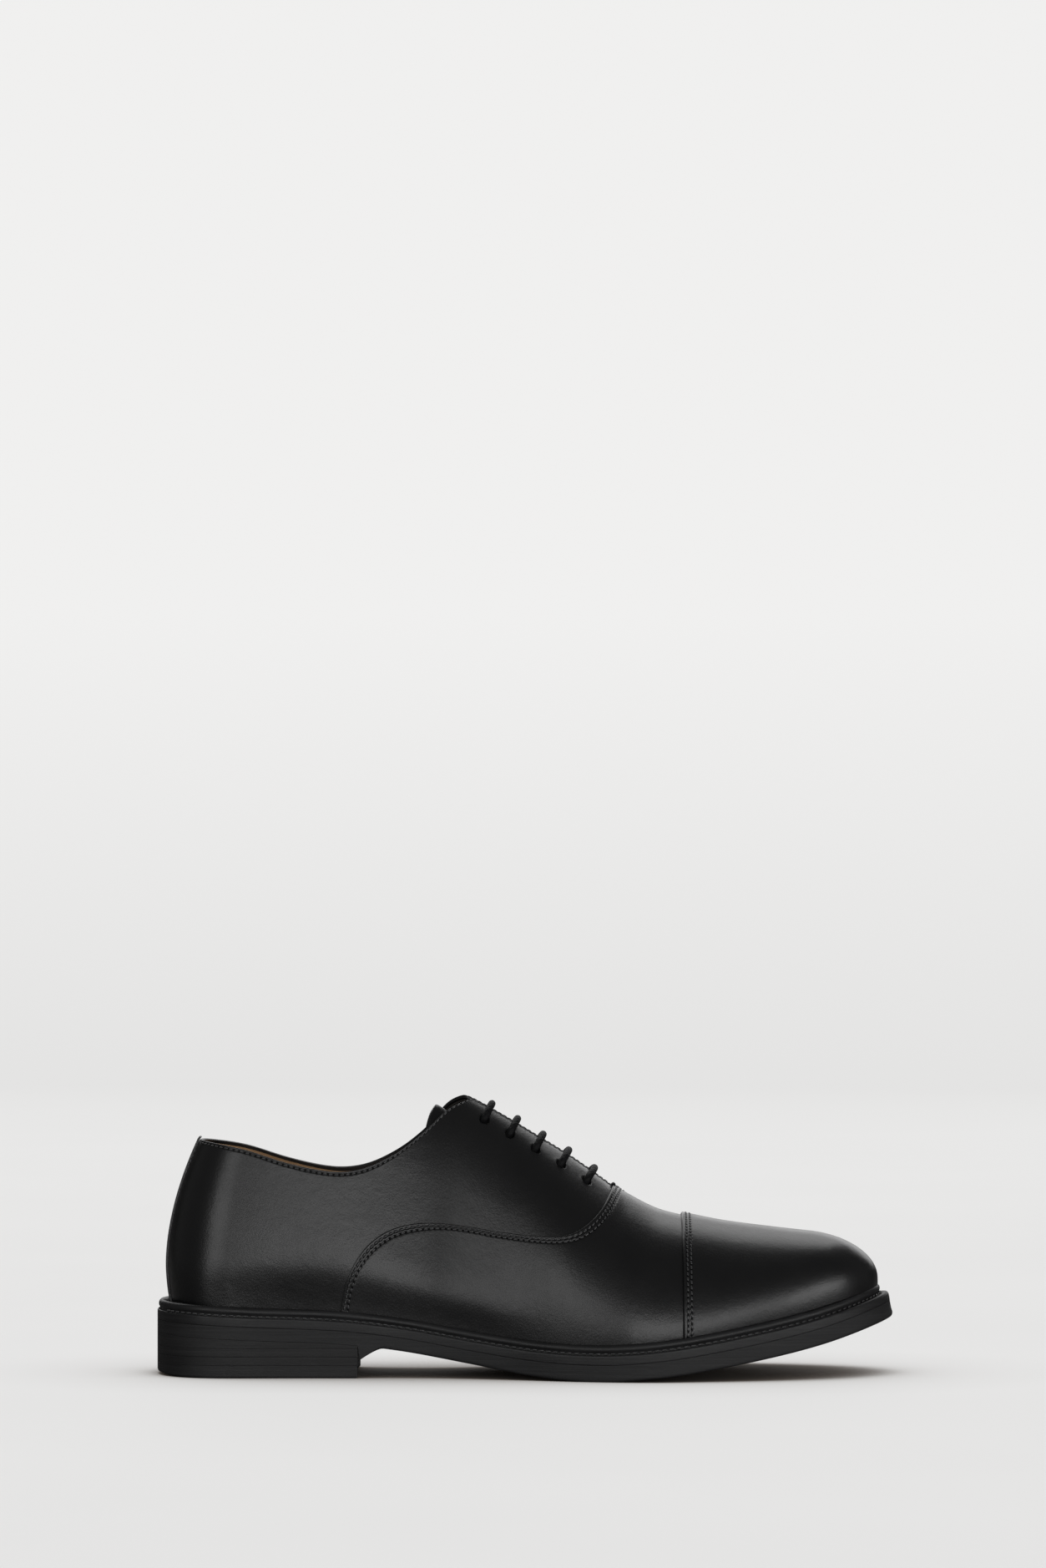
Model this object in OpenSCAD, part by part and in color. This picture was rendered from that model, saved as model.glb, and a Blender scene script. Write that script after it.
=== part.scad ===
// Man's cap-toe oxford shoe, right foot, Goodyear-welted construction.
// Millimetres. +X points to the toe, +Y to the medial side, +Z up.
// The origin is the centre of the heel's ground face.

/* [Size] */
// Length of the outsole from heel back to toe tip
sole_len = 302; // [294:1:310]
// Half width of the sole at the heel seat
heel_half_w = 33.5; // [31:0.5:36]
// Half width of the sole at the waist
waist_half_w = 30; // [28:0.5:33]
// Half width of the sole at the ball
ball_half_w = 53; // [50:0.5:56]

/* [Sole] */
// Thickness of the welt's flat rim
welt_t = 4; // [3.5:0.1:4.5]
// Height of the raised bead above the rim
bead_h = 3.6; // [3:0.1:4]
// Outsole thickness in the waist
outsole_waist_t = 5.3; // [5:0.1:5.6]
// Outsole thickness in the forepart
outsole_fore_t = 6.8; // [6.4:0.1:7]
// How far the welt stands out past the upper at the heel
margin_heel = 4; // [3.8:0.1:4.2]
// How far the welt stands out past the upper at the toe
margin_toe = 7; // [6.8:0.1:7.4]
// Insole thickness
insole_t = 3; // [2.6:0.1:3.2]

/* [Heel] */
// Distance from heel back to heel breast
heel_len = 83.4; // [80:0.2:86]
// Thickness of the rubber top piece that meets the ground
top_piece_t = 5.2; // [4.8:0.1:5.6]
// Thickness of one leather lift
lift_t = 3.4; // [3.2:0.1:3.5]

/* [Upper] */
// Thickness of the outer leather
leather_t = 1.1; // [1:0.1:1.2]
// Thickness of the linings
lining_t = 0.8; // [0.7:0.1:0.9]
// Thickness of the stiffeners and stays
stiffener_t = 0.8; // [0.6:0.1:0.9]

/* [Lacing] */
// Number of eyelet pairs
eyelet_pairs = 5; // [4:1:6]
// Radius of the round lace
lace_r = 1.35; // [1.2:0.05:1.4]
// Radius of the eyelet holes in the facing
eyelet_r = 1.75; // [1.7:0.05:1.9]

/* [Hidden] */

lateral = -1;
medial = 1;
stretch = sole_len / 302;
origin_x = heel_len / 2;

// Smooth curve through control points [x, value], value held beyond the ends.
function span_at(p, x, i = 0) =
    (i >= len(p) - 2 || x < p[i + 1][0]) ? i : span_at(p, x, i + 1);
function slope_at(p, i) =
    let (a = p[max(i - 1, 0)], b = p[min(i + 1, len(p) - 1)]) (b[1] - a[1]) / (b[0] - a[0]);
function curve(p, x) =
    let (
        i = span_at(p, x),
        h = p[i + 1][0] - p[i][0],
        t = min(max((x - p[i][0]) / h, 0), 1),
        t2 = t * t,
        t3 = t2 * t
    )
    p[i][1] * (2 * t3 - 3 * t2 + 1) + slope_at(p, i) * h * (t3 - 2 * t2 + t)
        + p[i + 1][1] * (3 * t2 - 2 * t3) + slope_at(p, i + 1) * h * (t3 - t2);
// The same, with the stations stretched to the chosen sole length.
function along(p, x) = curve(p, x / stretch);
function blend(a, b, t) = a + (b - a) * t;
function ramp(x, a, b) = let (t = min(max((x - a) / (b - a), 0), 1)) t * t * (3 - 2 * t);
// Quarter of a superellipse: 1 at s = 0, falling to 0 at s = 1.
function round_end(s, n) = (1 - min(max(s, 0), 1) ^ n) ^ (1 / n);

// Plan shape: half width and centre line of the sole edge.
half_width = [
    [0, heel_half_w], [35, heel_half_w], [72, heel_half_w - 2], [112, waist_half_w],
    [142, blend(waist_half_w, ball_half_w, 0.28)], [170, blend(waist_half_w, ball_half_w, 0.72)],
    [198, ball_half_w], [225, ball_half_w - 0.5]
];
centre_line = [[0, 0], [50, 0], [115, -4], [170, -4.5], [205, -2.5], [245, 0], [302, 2.5]];
ridge_line = [[0, 0], [60, 0], [127, 1], [190, 1], [250, 1], [302, 2.5]];
heel_round_x = 31 * stretch;
toe_round_x = 205 * stretch;

function edge_x(f, heel_in, toe_in) = heel_in + f * (sole_len - heel_in - toe_in);
function edge_w(f, heel_in, toe_in) =
    let (x = edge_x(f, heel_in, toe_in))
    (along(half_width, x) - blend(heel_in, toe_in, f))
        * round_end((heel_round_x - x) / (heel_round_x - heel_in), 2.3)
        * round_end((x - toe_round_x) / (sole_len - toe_in - toe_round_x), 2.05);

// Side profile heights.
rim_top = [
    [0, 26.6], [40, 24.6], [75, 23.2], [100, 20.4], [128, 15.6], [155, 11.9], [183, 10.8],
    [210, 12.9], [240, 17.9], [272, 24.9], [302, 34.2]
];
ridge_top = [
    [0, 152], [45, 152], [72, 146], [98, 129], [113, 119], [127, 114.3], [140, 107.3],
    [155, 98.3], [170, 89], [183, 79.8], [192, 73.2], [203, 68], [214, 65.3],
    [232, 61.6], [255, 58.6], [270, 56.9], [302, 53]
];
nose_x = 268 * stretch;
nose_z = 37;

function outsole_t(x) =
    blend(outsole_waist_t, outsole_fore_t, ramp(x, 120 * stretch, 178 * stretch));
function rim_z(x) = along(rim_top, x);
function outsole_top(x) = rim_z(x) - welt_t;
function tread_z(x) = outsole_top(x) - outsole_t(x);
function last_foot(x) = rim_z(x) - welt_t + 1;
function crest(x, toe_in) =
    let (top = along(ridge_top, x), s = (x - nose_x) / (sole_len - toe_in - nose_x))
    x < nose_x ? top : nose_z + (top - nose_z) * round_end(s, 2.2);

// Surface of the upper. f runs from heel (0) to toe (1), psi from the feather edge
// (-under) to the ridge (90 degrees), depth is measured inwards from the upper's skin.
under = 14;
lean_z = 45;
lean_end = 0.37;
// Power of the section: above 1 the widest place sinks towards the sole.
toe_power = 1.07;
function section_power(x) = blend(1, toe_power, ramp(x, 195 * stretch, 245 * stretch));
function lean(z, f) =
    f < lean_end ? 0.011 * abs(z - lean_z) ^ 1.8 * (1 - f / lean_end) ^ 2 : 0;
// Barrel of the quarters: widest a little above the sole, tucked in at the feather edge and
// towards the topline, and egg-shaped round the heel.
barrel = 0.045;
barrel_t = 0.2;
barrel_span = 0.14;
gather = 0.07;
egg = 0.22;
egg_end = 72;
function girth(x, t) =
    let (
        back = 1 - ramp(x, 120 * stretch, 168 * stretch),
        bulge = barrel * exp(-((t - barrel_t) / barrel_span) ^ 2) * ramp(t, 0.02, barrel_t),
        s = max(1 - x / (egg_end * stretch), 0)
    )
    1 + back * (bulge - gather * ramp(t, barrel_t, 0.6)) - egg * s ^ 2 * ramp(t, 0.02, 0.25);
function rise(x, psi) = max((sin(psi) + sin(under)) / (1 + sin(under)), 0) ^ section_power(x);
function skin_point(f, psi, side, depth) =
    let (
        x = edge_x(f, margin_heel + depth, margin_toe + depth),
        w = edge_w(f, margin_heel + depth, margin_toe + depth),
        foot = last_foot(x),
        t = rise(x, psi),
        z = foot + (crest(x, margin_toe + depth) - depth - foot) * t,
        mid = blend(along(centre_line, x), along(ridge_line, x), t)
    )
    [x + lean(z, f) - origin_x, mid + side * w * cos(psi) * girth(x, t), z];
function at_x(x) = (x - margin_heel) / (sole_len - margin_heel - margin_toe);
// Angle psi at which the skin reaches height z at fraction f.
function psi_at(f, z) =
    let (
        x = edge_x(f, margin_heel, margin_toe),
        foot = last_foot(x),
        t = min(max((z - foot) / (crest(x, margin_toe) - foot), 0), 1)
    )
    asin(min(t ^ (1 / section_power(x)) * (1 + sin(under)) - sin(under), 1));
// Outward normal of the skin.
function skin_normal(f, psi, side) =
    let (
        e = 0.002,
        a = skin_point(f + e, psi, side, 0) - skin_point(f - e, psi, side, 0),
        b = skin_point(f, psi + 1, side, 0) - skin_point(f, psi - 1, side, 0),
        n = side * cross(b, a)
    )
    n / norm(n);

// Height curves of the seams, over the station x.
topline = [
    [16, 96.2], [35, 93], [52, 88], [66, 84.8], [76, 83.9], [86, 85.6], [96, 90.2],
    [105, 96], [113, 102], [119, 108.2], [123, 111.6], [128, 113.6]
];
vamp_edge = [
    [76, 27], [78, 37], [82, 46.6], [88, 54.4], [97, 60], [109, 62.4], [124, 61.6],
    [142, 58.9], [160, 57.4], [169, 58.4], [176, 62.2], [182, 68.2], [187.5, 77.6]
];
facing_start = 128;
throat_x = 188;
facing_gap = 2.2;
cap_x = 215;
under_lap = 8;

// Depth of each layer of the upper: the skin is depth 0 and the vamp and cap lap over it.
lap_out = -1;
lap_in = lap_out + leather_t;
layer_gap = 0.35;
base_out = lap_in + layer_gap;
base_in = base_out + leather_t;
stiff_out = base_in + layer_gap;
stiff_in = stiff_out + stiffener_t;
lining_out = stiff_in + layer_gap;
lining_in = lining_out + lining_t;
run_depth = lining_in + lace_r + 0.5;
tongue_out = run_depth + lace_r + 0.6;
tongue_t = 1.5;
tongue_in = tongue_out + tongue_t;

// Fractions from a to b, with steps crowded towards whichever ends are closed.
function steps(a, b, n) = [for (i = [0 : n]) blend(a, b, i / n)];
function eased(a, b, n) = [for (i = [0 : n]) blend(a, b, (1 - cos(180 * i / n)) / 2)];
function eased_in(a, b, n) = [for (i = [0 : n]) blend(a, b, 1 - cos(90 * i / n))];
function eased_out(a, b, n) = [for (i = [0 : n]) blend(a, b, sin(90 * i / n))];

// Closed shell between two grids of points. The end wall is left out when both
// grids close on themselves at their last column.
module shell(outer, inner, closed_end = false, flip = false) {
    ni = len(outer);
    nj = len(outer[0]);
    function at(k, i, j) = (k * ni + i) * nj + j;
    function quad(a, b, c, d) = flip ? [d, c, b, a] : [a, b, c, d];
    polyhedron(
        points = [for (g = [outer, inner]) for (column = g) for (p = column) p],
        faces = [
            for (i = [0 : ni - 2], j = [0 : nj - 2]) each [
                quad(at(0, i, j), at(0, i, j + 1), at(0, i + 1, j + 1), at(0, i + 1, j)),
                quad(at(1, i, j), at(1, i + 1, j), at(1, i + 1, j + 1), at(1, i, j + 1))
            ],
            for (i = [0 : ni - 2]) each [
                quad(at(0, i, 0), at(0, i + 1, 0), at(1, i + 1, 0), at(1, i, 0)),
                quad(at(0, i, nj - 1), at(1, i, nj - 1), at(1, i + 1, nj - 1), at(0, i + 1, nj - 1))
            ],
            for (j = [0 : nj - 2])
                quad(at(0, 0, j), at(1, 0, j), at(1, 0, j + 1), at(0, 0, j + 1)),
            if (!closed_end)
                for (j = [0 : nj - 2])
                    quad(at(0, ni - 1, j), at(0, ni - 1, j + 1), at(1, ni - 1, j + 1), at(1, ni - 1, j))
        ],
        convexity = 8
    );
}

// One-sided patch: for each fraction, rows from angle lo to angle hi.
function side_grid(fs, lo, hi, rows, side, depth) = [
    for (f = fs) [for (j = [0 : rows]) skin_point(f, blend(lo(f), hi(f), j / rows), side, depth)]
];
module side_patch(fs, lo, hi, rows, side, out_depth, in_depth) {
    shell(
        side_grid(fs, lo, hi, rows, side, out_depth),
        side_grid(fs, lo, hi, rows, side, in_depth),
        flip = side == medial
    );
}
// Patch over the ridge, from the lateral angle lo across to the medial angle lo.
function over_grid(fs, lo, rows, depth) = [
    for (f = fs) [
        for (j = [0 : 2 * rows])
            skin_point(f, blend(90, lo(f), abs(j / rows - 1)), j < rows ? lateral : medial, depth(f))
    ]
];
module over_patch(fs, lo, rows, out_depth, in_depth, closed_end = false) {
    shell(over_grid(fs, lo, rows, out_depth), over_grid(fs, lo, rows, in_depth), closed_end);
}
feather = function(f) -under;

// Quarters. The lining is trimmed a little below the topline.
lining_trim = 0.4;
seat_end = 0.1;
fore_start = 0.12;
function lean_x(f, z) = edge_x(f, margin_heel, margin_toe) + lean(z, f);
function facing_psi(f) = acos(facing_gap / edge_w(f, margin_heel, margin_toe));
function quarter_top(f) =
    let (x = lean_x(f, 90))
    x / stretch > facing_start ? facing_psi(f)
        : min(psi_at(f, along(topline, x)), facing_psi(f));
function quarter_bottom(f) =
    let (x = edge_x(f, margin_heel, margin_toe) / stretch)
    x < 76 + under_lap ? -under
        : max(psi_at(f, curve(vamp_edge, x - under_lap) - under_lap), -under);
heel_start = 0.00004;
quarter_end = at_x((throat_x + 1.5) * stretch);
quarter_steps = concat(eased_in(heel_start, seat_end, 8), steps(fore_start, quarter_end, 26));

module quarter_shape(side, out_depth, in_depth) {
    side_patch(
        quarter_steps, function(f) quarter_bottom(f), function(f) quarter_top(f), 14, side,
        out_depth, in_depth
    );
}

// Eyelet positions along the facing.
eyelet_first = 134.2;
eyelet_last = 176.2;
eyelet_psi = 67.3;
function eyelet_f(i) =
    at_x(blend(eyelet_first, eyelet_last, i / (eyelet_pairs - 1)) * stretch);
function eyelet_point(i, side, depth) =
    skin_point(eyelet_f(i), eyelet_psi, side, 0)
        - depth * skin_normal(eyelet_f(i), eyelet_psi, side);
module at_eyelets(side) {
    for (i = [0 : eyelet_pairs - 1]) {
        n = skin_normal(eyelet_f(i), eyelet_psi, side);
        translate(eyelet_point(i, side, 0))
            rotate([0, acos(n[2]), atan2(n[1], n[0])])
                children();
    }
}
bore_play = 0.5;
module eyelet_bores(side, r) {
    at_eyelets(side) translate([0, 0, -8]) cylinder(r = r, h = 12, $fn = 24);
}
module quarter(side) {
    color("#1f1f22")
        difference() {
            quarter_shape(side, base_out, base_in);
            eyelet_bores(side, eyelet_r);
        }
}
// The lining's lower edge climbs towards the throat, clear of the forepart when it flexes.
lining_climb = 22;
function lining_bottom(f) = -under + lining_climb * ramp(f, at_x(170 * stretch), quarter_end);
module quarter_lining(side) {
    color("#a9835c")
        difference() {
            side_patch(
                concat(eased_in(heel_start, seat_end, 7), steps(fore_start, quarter_end, 20)),
                function(f) lining_bottom(f), function(f) quarter_top(f) - lining_trim, 15, side,
                lining_out, lining_in
            );
            eyelet_bores(side, eyelet_r + bore_play);
        }
}

// Strip under the eyelets, from the facing edge down.
stay_turn = 28;
stay_trim = 1.5;
stay_play = 0.15;
stay_from = facing_start + 1.5;
stay_to = 182;
module facing_stay(side) {
    color("#cfc9bb")
        difference() {
            side_patch(
                steps(at_x(stay_from * stretch), at_x(stay_to * stretch), 14),
                function(f) facing_psi(f) - stay_trim - stay_turn,
                function(f) facing_psi(f) - stay_trim, 8, side, stiff_out + stay_play, stiff_in
            );
            eyelet_bores(side, eyelet_r + bore_play);
        }
}
// Metal rings hidden in the holes of the stay and the lining.
ring_h = 1.35;
ring_w = 0.4;
ring_rise = 0.35;
module blind_eyelets() {
    color("#3a3a3c")
        for (side = [lateral, medial])
            at_eyelets(side)
                translate([0, 0, ring_rise - lining_in])
                    difference() {
                        cylinder(r = eyelet_r + ring_w, h = ring_h, $fn = 24);
                        translate([0, 0, -1]) cylinder(r = eyelet_r, h = ring_h + 2, $fn = 24);
                    }
}

// Toe cap, vamp and their linings.
cap_start = at_x(cap_x * stretch);
module toe_cap() {
    color("#1b1b1e")
        over_patch(
            eased_out(cap_start, 1, 18), feather, 12,
            function(f) lap_out, function(f) lap_in, closed_end = true
        );
}
puff_start = at_x(236 * stretch);
module toe_puff() {
    color("#d8d0bd")
        over_patch(
            eased_out(puff_start, 1, 12), feather, 7,
            function(f) stiff_out, function(f) stiff_in, closed_end = true
        );
}
lining_start = at_x((throat_x + 3) * stretch);
module vamp_lining() {
    color("#c9b08a")
        over_patch(
            eased_out(lining_start, 1, 18), feather, 7,
            function(f) lining_out, function(f) lining_in, closed_end = true
        );
}

// The vamp is a U-shaped band between the swan-neck edge and its outer boundary.
// A place on it is [fraction, turn], with turn -1 lateral feather, 0 ridge, 1 medial.
vamp_end = at_x((cap_x + 9) * stretch);
function turn_of(f, z) = 1 - (psi_at(f, z) + under) / (90 + under);
function neck_place(k) =
    let (
        side = k < 0.5 ? lateral : medial,
        s = 1 - abs(2 * k - 1),
        x = blend(76, 187.5, 1 - (1 - s) ^ 1.35),
        f = at_x(x * stretch)
    )
    s > 0.999 ? [at_x((throat_x + 1) * stretch), 0] : [f, side * turn_of(f, curve(vamp_edge, x))];
function rim_place(k) =
    let (side = k < 0.5 ? lateral : medial, s = 1 - abs(2 * k - 1), corner = 0.8)
    s < corner ? [blend(at_x(82 * stretch), vamp_end, s / corner), side]
        : [vamp_end, side * (1 - (s - corner) / (1 - corner))];
function place_point(p, depth) =
    skin_point(p[0], 90 - abs(p[1]) * (90 + under), p[1] < 0 ? lateral : medial, depth);
function vamp_depth(f) = blend(lap_out, base_out, ramp(f, at_x(199 * stretch), at_x(212 * stretch)));
function vamp_grid(columns, rows, extra) = [
    for (i = [0 : columns]) [
        for (j = [0 : rows])
            let (p = blend(rim_place(i / columns), neck_place(i / columns), j / rows))
            place_point(p, vamp_depth(p[0]) + extra)
    ]
];
vamp_columns = 74;
vamp_rows = 12;
module vamp() {
    color("#1d1d20")
        shell(
            vamp_grid(vamp_columns, vamp_rows, 0),
            vamp_grid(vamp_columns, vamp_rows, leather_t)
        );
}

// Stiffener cup around the back of the heel, and the strip over the back seam.
function back_grid(f_end, half, lo, hi, rows, depth) = [
    for (i = [-half : half]) [
        for (j = [0 : rows])
            let (f = f_end * (abs(i) / half) ^ 2)
            skin_point(f, blend(lo, hi(f), j / rows), i < 0 ? lateral : medial, depth)
    ]
];
counter_len = 0.26;
counter_top = 78;
counter_drop = 34;
module heel_counter() {
    top = function(f) psi_at(f, counter_top - counter_drop * (f / counter_len) ^ 2);
    color("#b9a67f")
        shell(
            back_grid(counter_len, 15, -under, top, 10, stiff_out),
            back_grid(counter_len, 15, -under, top, 10, stiff_in), flip = true
        );
}
strip_f = 0.0009;
strip_top = 96.6;
strip_thinning = 0.1;
strip_foot = psi_at(0, rim_z(0) + bead_h);
module back_strip() {
    top = function(f) psi_at(f, strip_top);
    color("#161618")
        shell(
            back_grid(strip_f, 5, strip_foot, top, 14, lap_out + strip_thinning),
            back_grid(strip_f, 5, strip_foot, top, 14, lap_in), flip = true
        );
}

// Tongue under the facing.
tongue_top = at_x(111 * stretch);
tongue_root = at_x(183 * stretch);
module tongue_layer(out_depth, in_depth) {
    over_patch(
        steps(tongue_top, tongue_root, 12),
        function(f) 90 - blend(50, 38, (f - tongue_top) / (tongue_root - tongue_top)), 6,
        function(f) out_depth, function(f) in_depth
    );
}
module tongue() {
    color("#1c1c1f") tongue_layer(tongue_out, tongue_in);
}
module tongue_lining() {
    color("#b08a62") tongue_layer(tongue_in + cover_gap, tongue_in + cover_gap + lining_t);
}

// Round tube along a path.
function path_dir(p, i) =
    let (d = p[min(i + 1, len(p) - 1)] - p[max(i - 1, 0)]) d / norm(d);
function ring_side(d) = let (s = cross(d, abs(d[0]) < 0.8 ? [1, 0, 0] : [0, 0, 1])) s / norm(s);
module tube(path, r, sides) {
    n = len(path);
    points = [
        for (i = [0 : n - 1])
            let (d = path_dir(path, i), a = ring_side(d), b = cross(d, a))
            for (k = [0 : sides - 1])
                path[i] + r * (cos(360 * k / sides) * a + sin(360 * k / sides) * b)
    ];
    polyhedron(
        points = points,
        faces = [
            for (i = [0 : n - 2], k = [0 : sides - 1])
                let (m = (k + 1) % sides)
                [i * sides + k, (i + 1) * sides + k, (i + 1) * sides + m, i * sides + m],
            [for (k = [0 : sides - 1]) k],
            [for (k = [0 : sides - 1]) (n - 1) * sides + sides - 1 - k]
        ],
        convexity = 6
    );
}

// The lace: straight bars on top, slanting runs between facing and tongue.
bar_forward = 0.0065;
bar_clear = 0.3;
bar_bow = 0.6;
bar_reach = 0.92;
run_reach = 0.78;
bore_end_in = run_depth - 0.4;
bore_end_out = -0.4;
function over_bar(i) = [
    for (k = [-4 : 4])
        let (
            middle = 1 - (k / 4) ^ 2,
            f = eyelet_f(i) + bar_forward * middle,
            psi = 90 - (90 - eyelet_psi) * bar_reach * abs(k) / 4
        )
        skin_point(f, psi, k < 0 ? lateral : medial, -lace_r - bar_clear - bar_bow * middle)
];
function under_run(i) = [
    for (k = [3 : -1 : -3])
        let (
            f = blend(eyelet_f(i), eyelet_f(i + 1), (3 - k) / 6),
            psi = 90 - (90 - eyelet_psi) * run_reach * abs(k) / 3
        )
        skin_point(f, psi, k > 0 ? medial : lateral, run_depth)
];
tail_back = 0.004;
tail_turn = 5.5;
tail_depth = run_depth + 0.2;
function tail_point(i, side, k) =
    skin_point(eyelet_f(i) - tail_back * k, eyelet_psi - tail_turn * k, side, tail_depth);
function lace_tail(i, side, out) =
    [for (k = out ? [1 : 4] : [4 : -1 : 1]) tail_point(i, side, k)];
lace_path = concat(
    lace_tail(0, lateral, false),
    [for (i = [0 : eyelet_pairs - 1]) each concat(
        [eyelet_point(i, lateral, bore_end_in), eyelet_point(i, lateral, bore_end_out)],
        over_bar(i),
        [eyelet_point(i, medial, bore_end_out), eyelet_point(i, medial, bore_end_in)],
        i < eyelet_pairs - 1 ? under_run(i) : []
    )],
    lace_tail(eyelet_pairs - 1, medial, true)
);
module lace() {
    color("#101012") tube(lace_path, lace_r, 8);
}
module lace_tips() {
    color("#242426")
        for (tip = [[0, lateral], [eyelet_pairs - 1, medial]])
            tube([for (k = [4.2, 6, 7.5]) tail_point(tip[0], tip[1], k)], lace_r + 0.1, 8);
}
// Bar tack across the ridge at the throat.
tack_r = 0.7;
tack_len = 6;
module bar_tack() {
    f = at_x((throat_x + 1.2) * stretch);
    color("#0e0e10")
        translate(skin_point(f, 90, medial, lap_out) + [0, 0, tack_r + 0.15])
            rotate([90, 0, 0])
                cylinder(r = tack_r, h = tack_len, center = true, $fn = 16);
}

// Sole layers: a plan outline cut by a side profile.
fine = eased(0, 1, 44);
module plan(heel_in, toe_in) {
    polygon([
        for (side = [lateral, medial], k = [0 : len(fine) - 1])
            let (
                f = side == lateral ? fine[k] : fine[len(fine) - 1 - k],
                x = edge_x(f, heel_in, toe_in)
            )
            if (side == lateral || (k > 0 && k < len(fine) - 1))
                [x - origin_x, along(centre_line, x) + side * edge_w(f, heel_in, toe_in)]
    ]);
}
profile_steps = steps(-2, sole_len + 2, 38);
module between(low, high) {
    rotate([90, 0, 0])
        linear_extrude(height = 140, center = true)
            polygon(concat(
                [for (x = profile_steps) [x - origin_x, low(x)]],
                [for (k = [len(profile_steps) - 1 : -1 : 0])
                    [profile_steps[k] - origin_x, high(profile_steps[k])]]
            ));
}
module layer(heel_in, toe_in, low, high) {
    intersection() {
        translate([0, 0, -5]) linear_extrude(height = 60) plan(heel_in, toe_in);
        between(low, high);
    }
}
// Keeps the part of its children ahead of (or behind) the flex line.
flex_lateral = [183 * stretch - origin_x, -48];
flex_medial = [206 * stretch - origin_x, 45];
flex_gap = 0.3;
module flex_side(ahead) {
    along_line = (flex_medial - flex_lateral) * 2;
    a = flex_lateral - along_line / 2 + [ahead ? flex_gap : 0, 0];
    b = flex_medial + along_line / 2 + [ahead ? flex_gap : 0, 0];
    far = ahead ? 300 : -300;
    translate([0, 0, -20])
        linear_extrude(height = 200)
            polygon([a, [far, a[1]], [far, b[1]], b]);
}
sole_gap = 0.15;
function core_bottom(x) = outsole_top(x) + sole_gap;
function core_top(x) = outsole_top(x) + 2.7;
function insole_bottom(x) = core_top(x) + sole_gap;
function insole_top(x) = insole_bottom(x) + insole_t;
insole_inset = lining_in + 2.9;
sock_inset = insole_inset + 0.6;
cover_gap = 0.1;
sock_t = 0.9;

bead_heel_in = margin_heel - 3.4;
bead_toe_in = margin_toe - 4;
bead_clear = 1.35;
module welt() {
    color("#2b2b2c") {
        difference() {
            union() {
                layer(0, 0, function(x) outsole_top(x) + sole_gap, function(x) rim_z(x));
                layer(
                    bead_heel_in, bead_toe_in, function(x) rim_z(x) - 2,
                    function(x) rim_z(x) + bead_h
                );
            }
            translate([0, 0, -5])
                linear_extrude(height = 60)
                    plan(margin_heel - bead_clear, margin_toe - bead_clear);
        }
    }
}
// One lock stitch on the rim every few millimetres, lying in the groove by the bead.
stitch_pitch = 3.4;
stitch_r = 0.35;
stitch_from = 104;
stitch_span = 170;
groove = 0.75;
stitch_count = floor(stitch_span * stretch / stitch_pitch);
function groove_point(x, side) =
    let (
        inset = blend(bead_heel_in, bead_toe_in, x / sole_len) - groove,
        f = (x - inset) / (sole_len - 2 * inset)
    )
    [x - origin_x, along(centre_line, x) + side * edge_w(f, inset, inset), rim_z(x) + groove];
module welt_stitching() {
    color("#141415")
        for (side = [lateral, medial], k = [0 : stitch_count - 1]) {
            x = stitch_from * stretch + k * stitch_pitch;
            here = groove_point(x, side);
            step = groove_point(x + 1, side) - here;
            translate(here)
                rotate([0, 90 - asin(step[2] / norm(step)), atan2(step[1], step[0])])
                    cylinder(r = stitch_r, h = stitch_pitch - 0.8, center = true, $fn = 13);
        }
}
module outsole_part(ahead) {
    color("#343436")
        intersection() {
            layer(0, 0, function(x) tread_z(x), function(x) outsole_top(x));
            flex_side(ahead);
        }
}
module insole() {
    color("#c7a57b")
        layer(
            margin_heel + insole_inset, margin_toe + insole_inset,
            function(x) insole_bottom(x), function(x) insole_top(x)
        );
}
module sock_lining() {
    color("#b28a5e")
        layer(
            margin_heel + sock_inset, margin_toe + sock_inset,
            function(x) insole_top(x) + cover_gap, function(x) insole_top(x) + cover_gap + sock_t
        );
}
rib_inset = insole_inset + 3;
rib_w = 2;
module insole_rib() {
    color("#e2dccb")
        difference() {
            layer(
                margin_heel + rib_inset, margin_toe + rib_inset,
                function(x) core_bottom(x), function(x) core_top(x)
            );
            translate([0, 0, -5])
                linear_extrude(height = 60)
                    plan(margin_heel + rib_inset + rib_w, margin_toe + rib_inset + rib_w);
        }
}
shank_from = 52;
shank_to = 150;
shank_w = 13;
module shank_form(grow) {
    intersection() {
        translate([
            shank_from * stretch - origin_x - grow, -shank_w / 2 - 1.5 - grow, 0
        ])
            cube([(shank_to - shank_from) * stretch + 2 * grow, shank_w + 2 * grow, 60]);
        between(
            function(x) core_bottom(x) + 0.5 - grow,
            function(x) core_bottom(x) + 1.7 + grow
        );
    }
}
module shank() {
    color("#8d9196") shank_form(0);
}
module cork_filler() {
    color("#a8743f")
        difference() {
            layer(
                margin_heel + rib_inset + rib_w + 0.2, margin_toe + rib_inset + rib_w + 0.2,
                function(x) core_bottom(x), function(x) core_top(x)
            );
            shank_form(0.2);
        }
}

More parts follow.
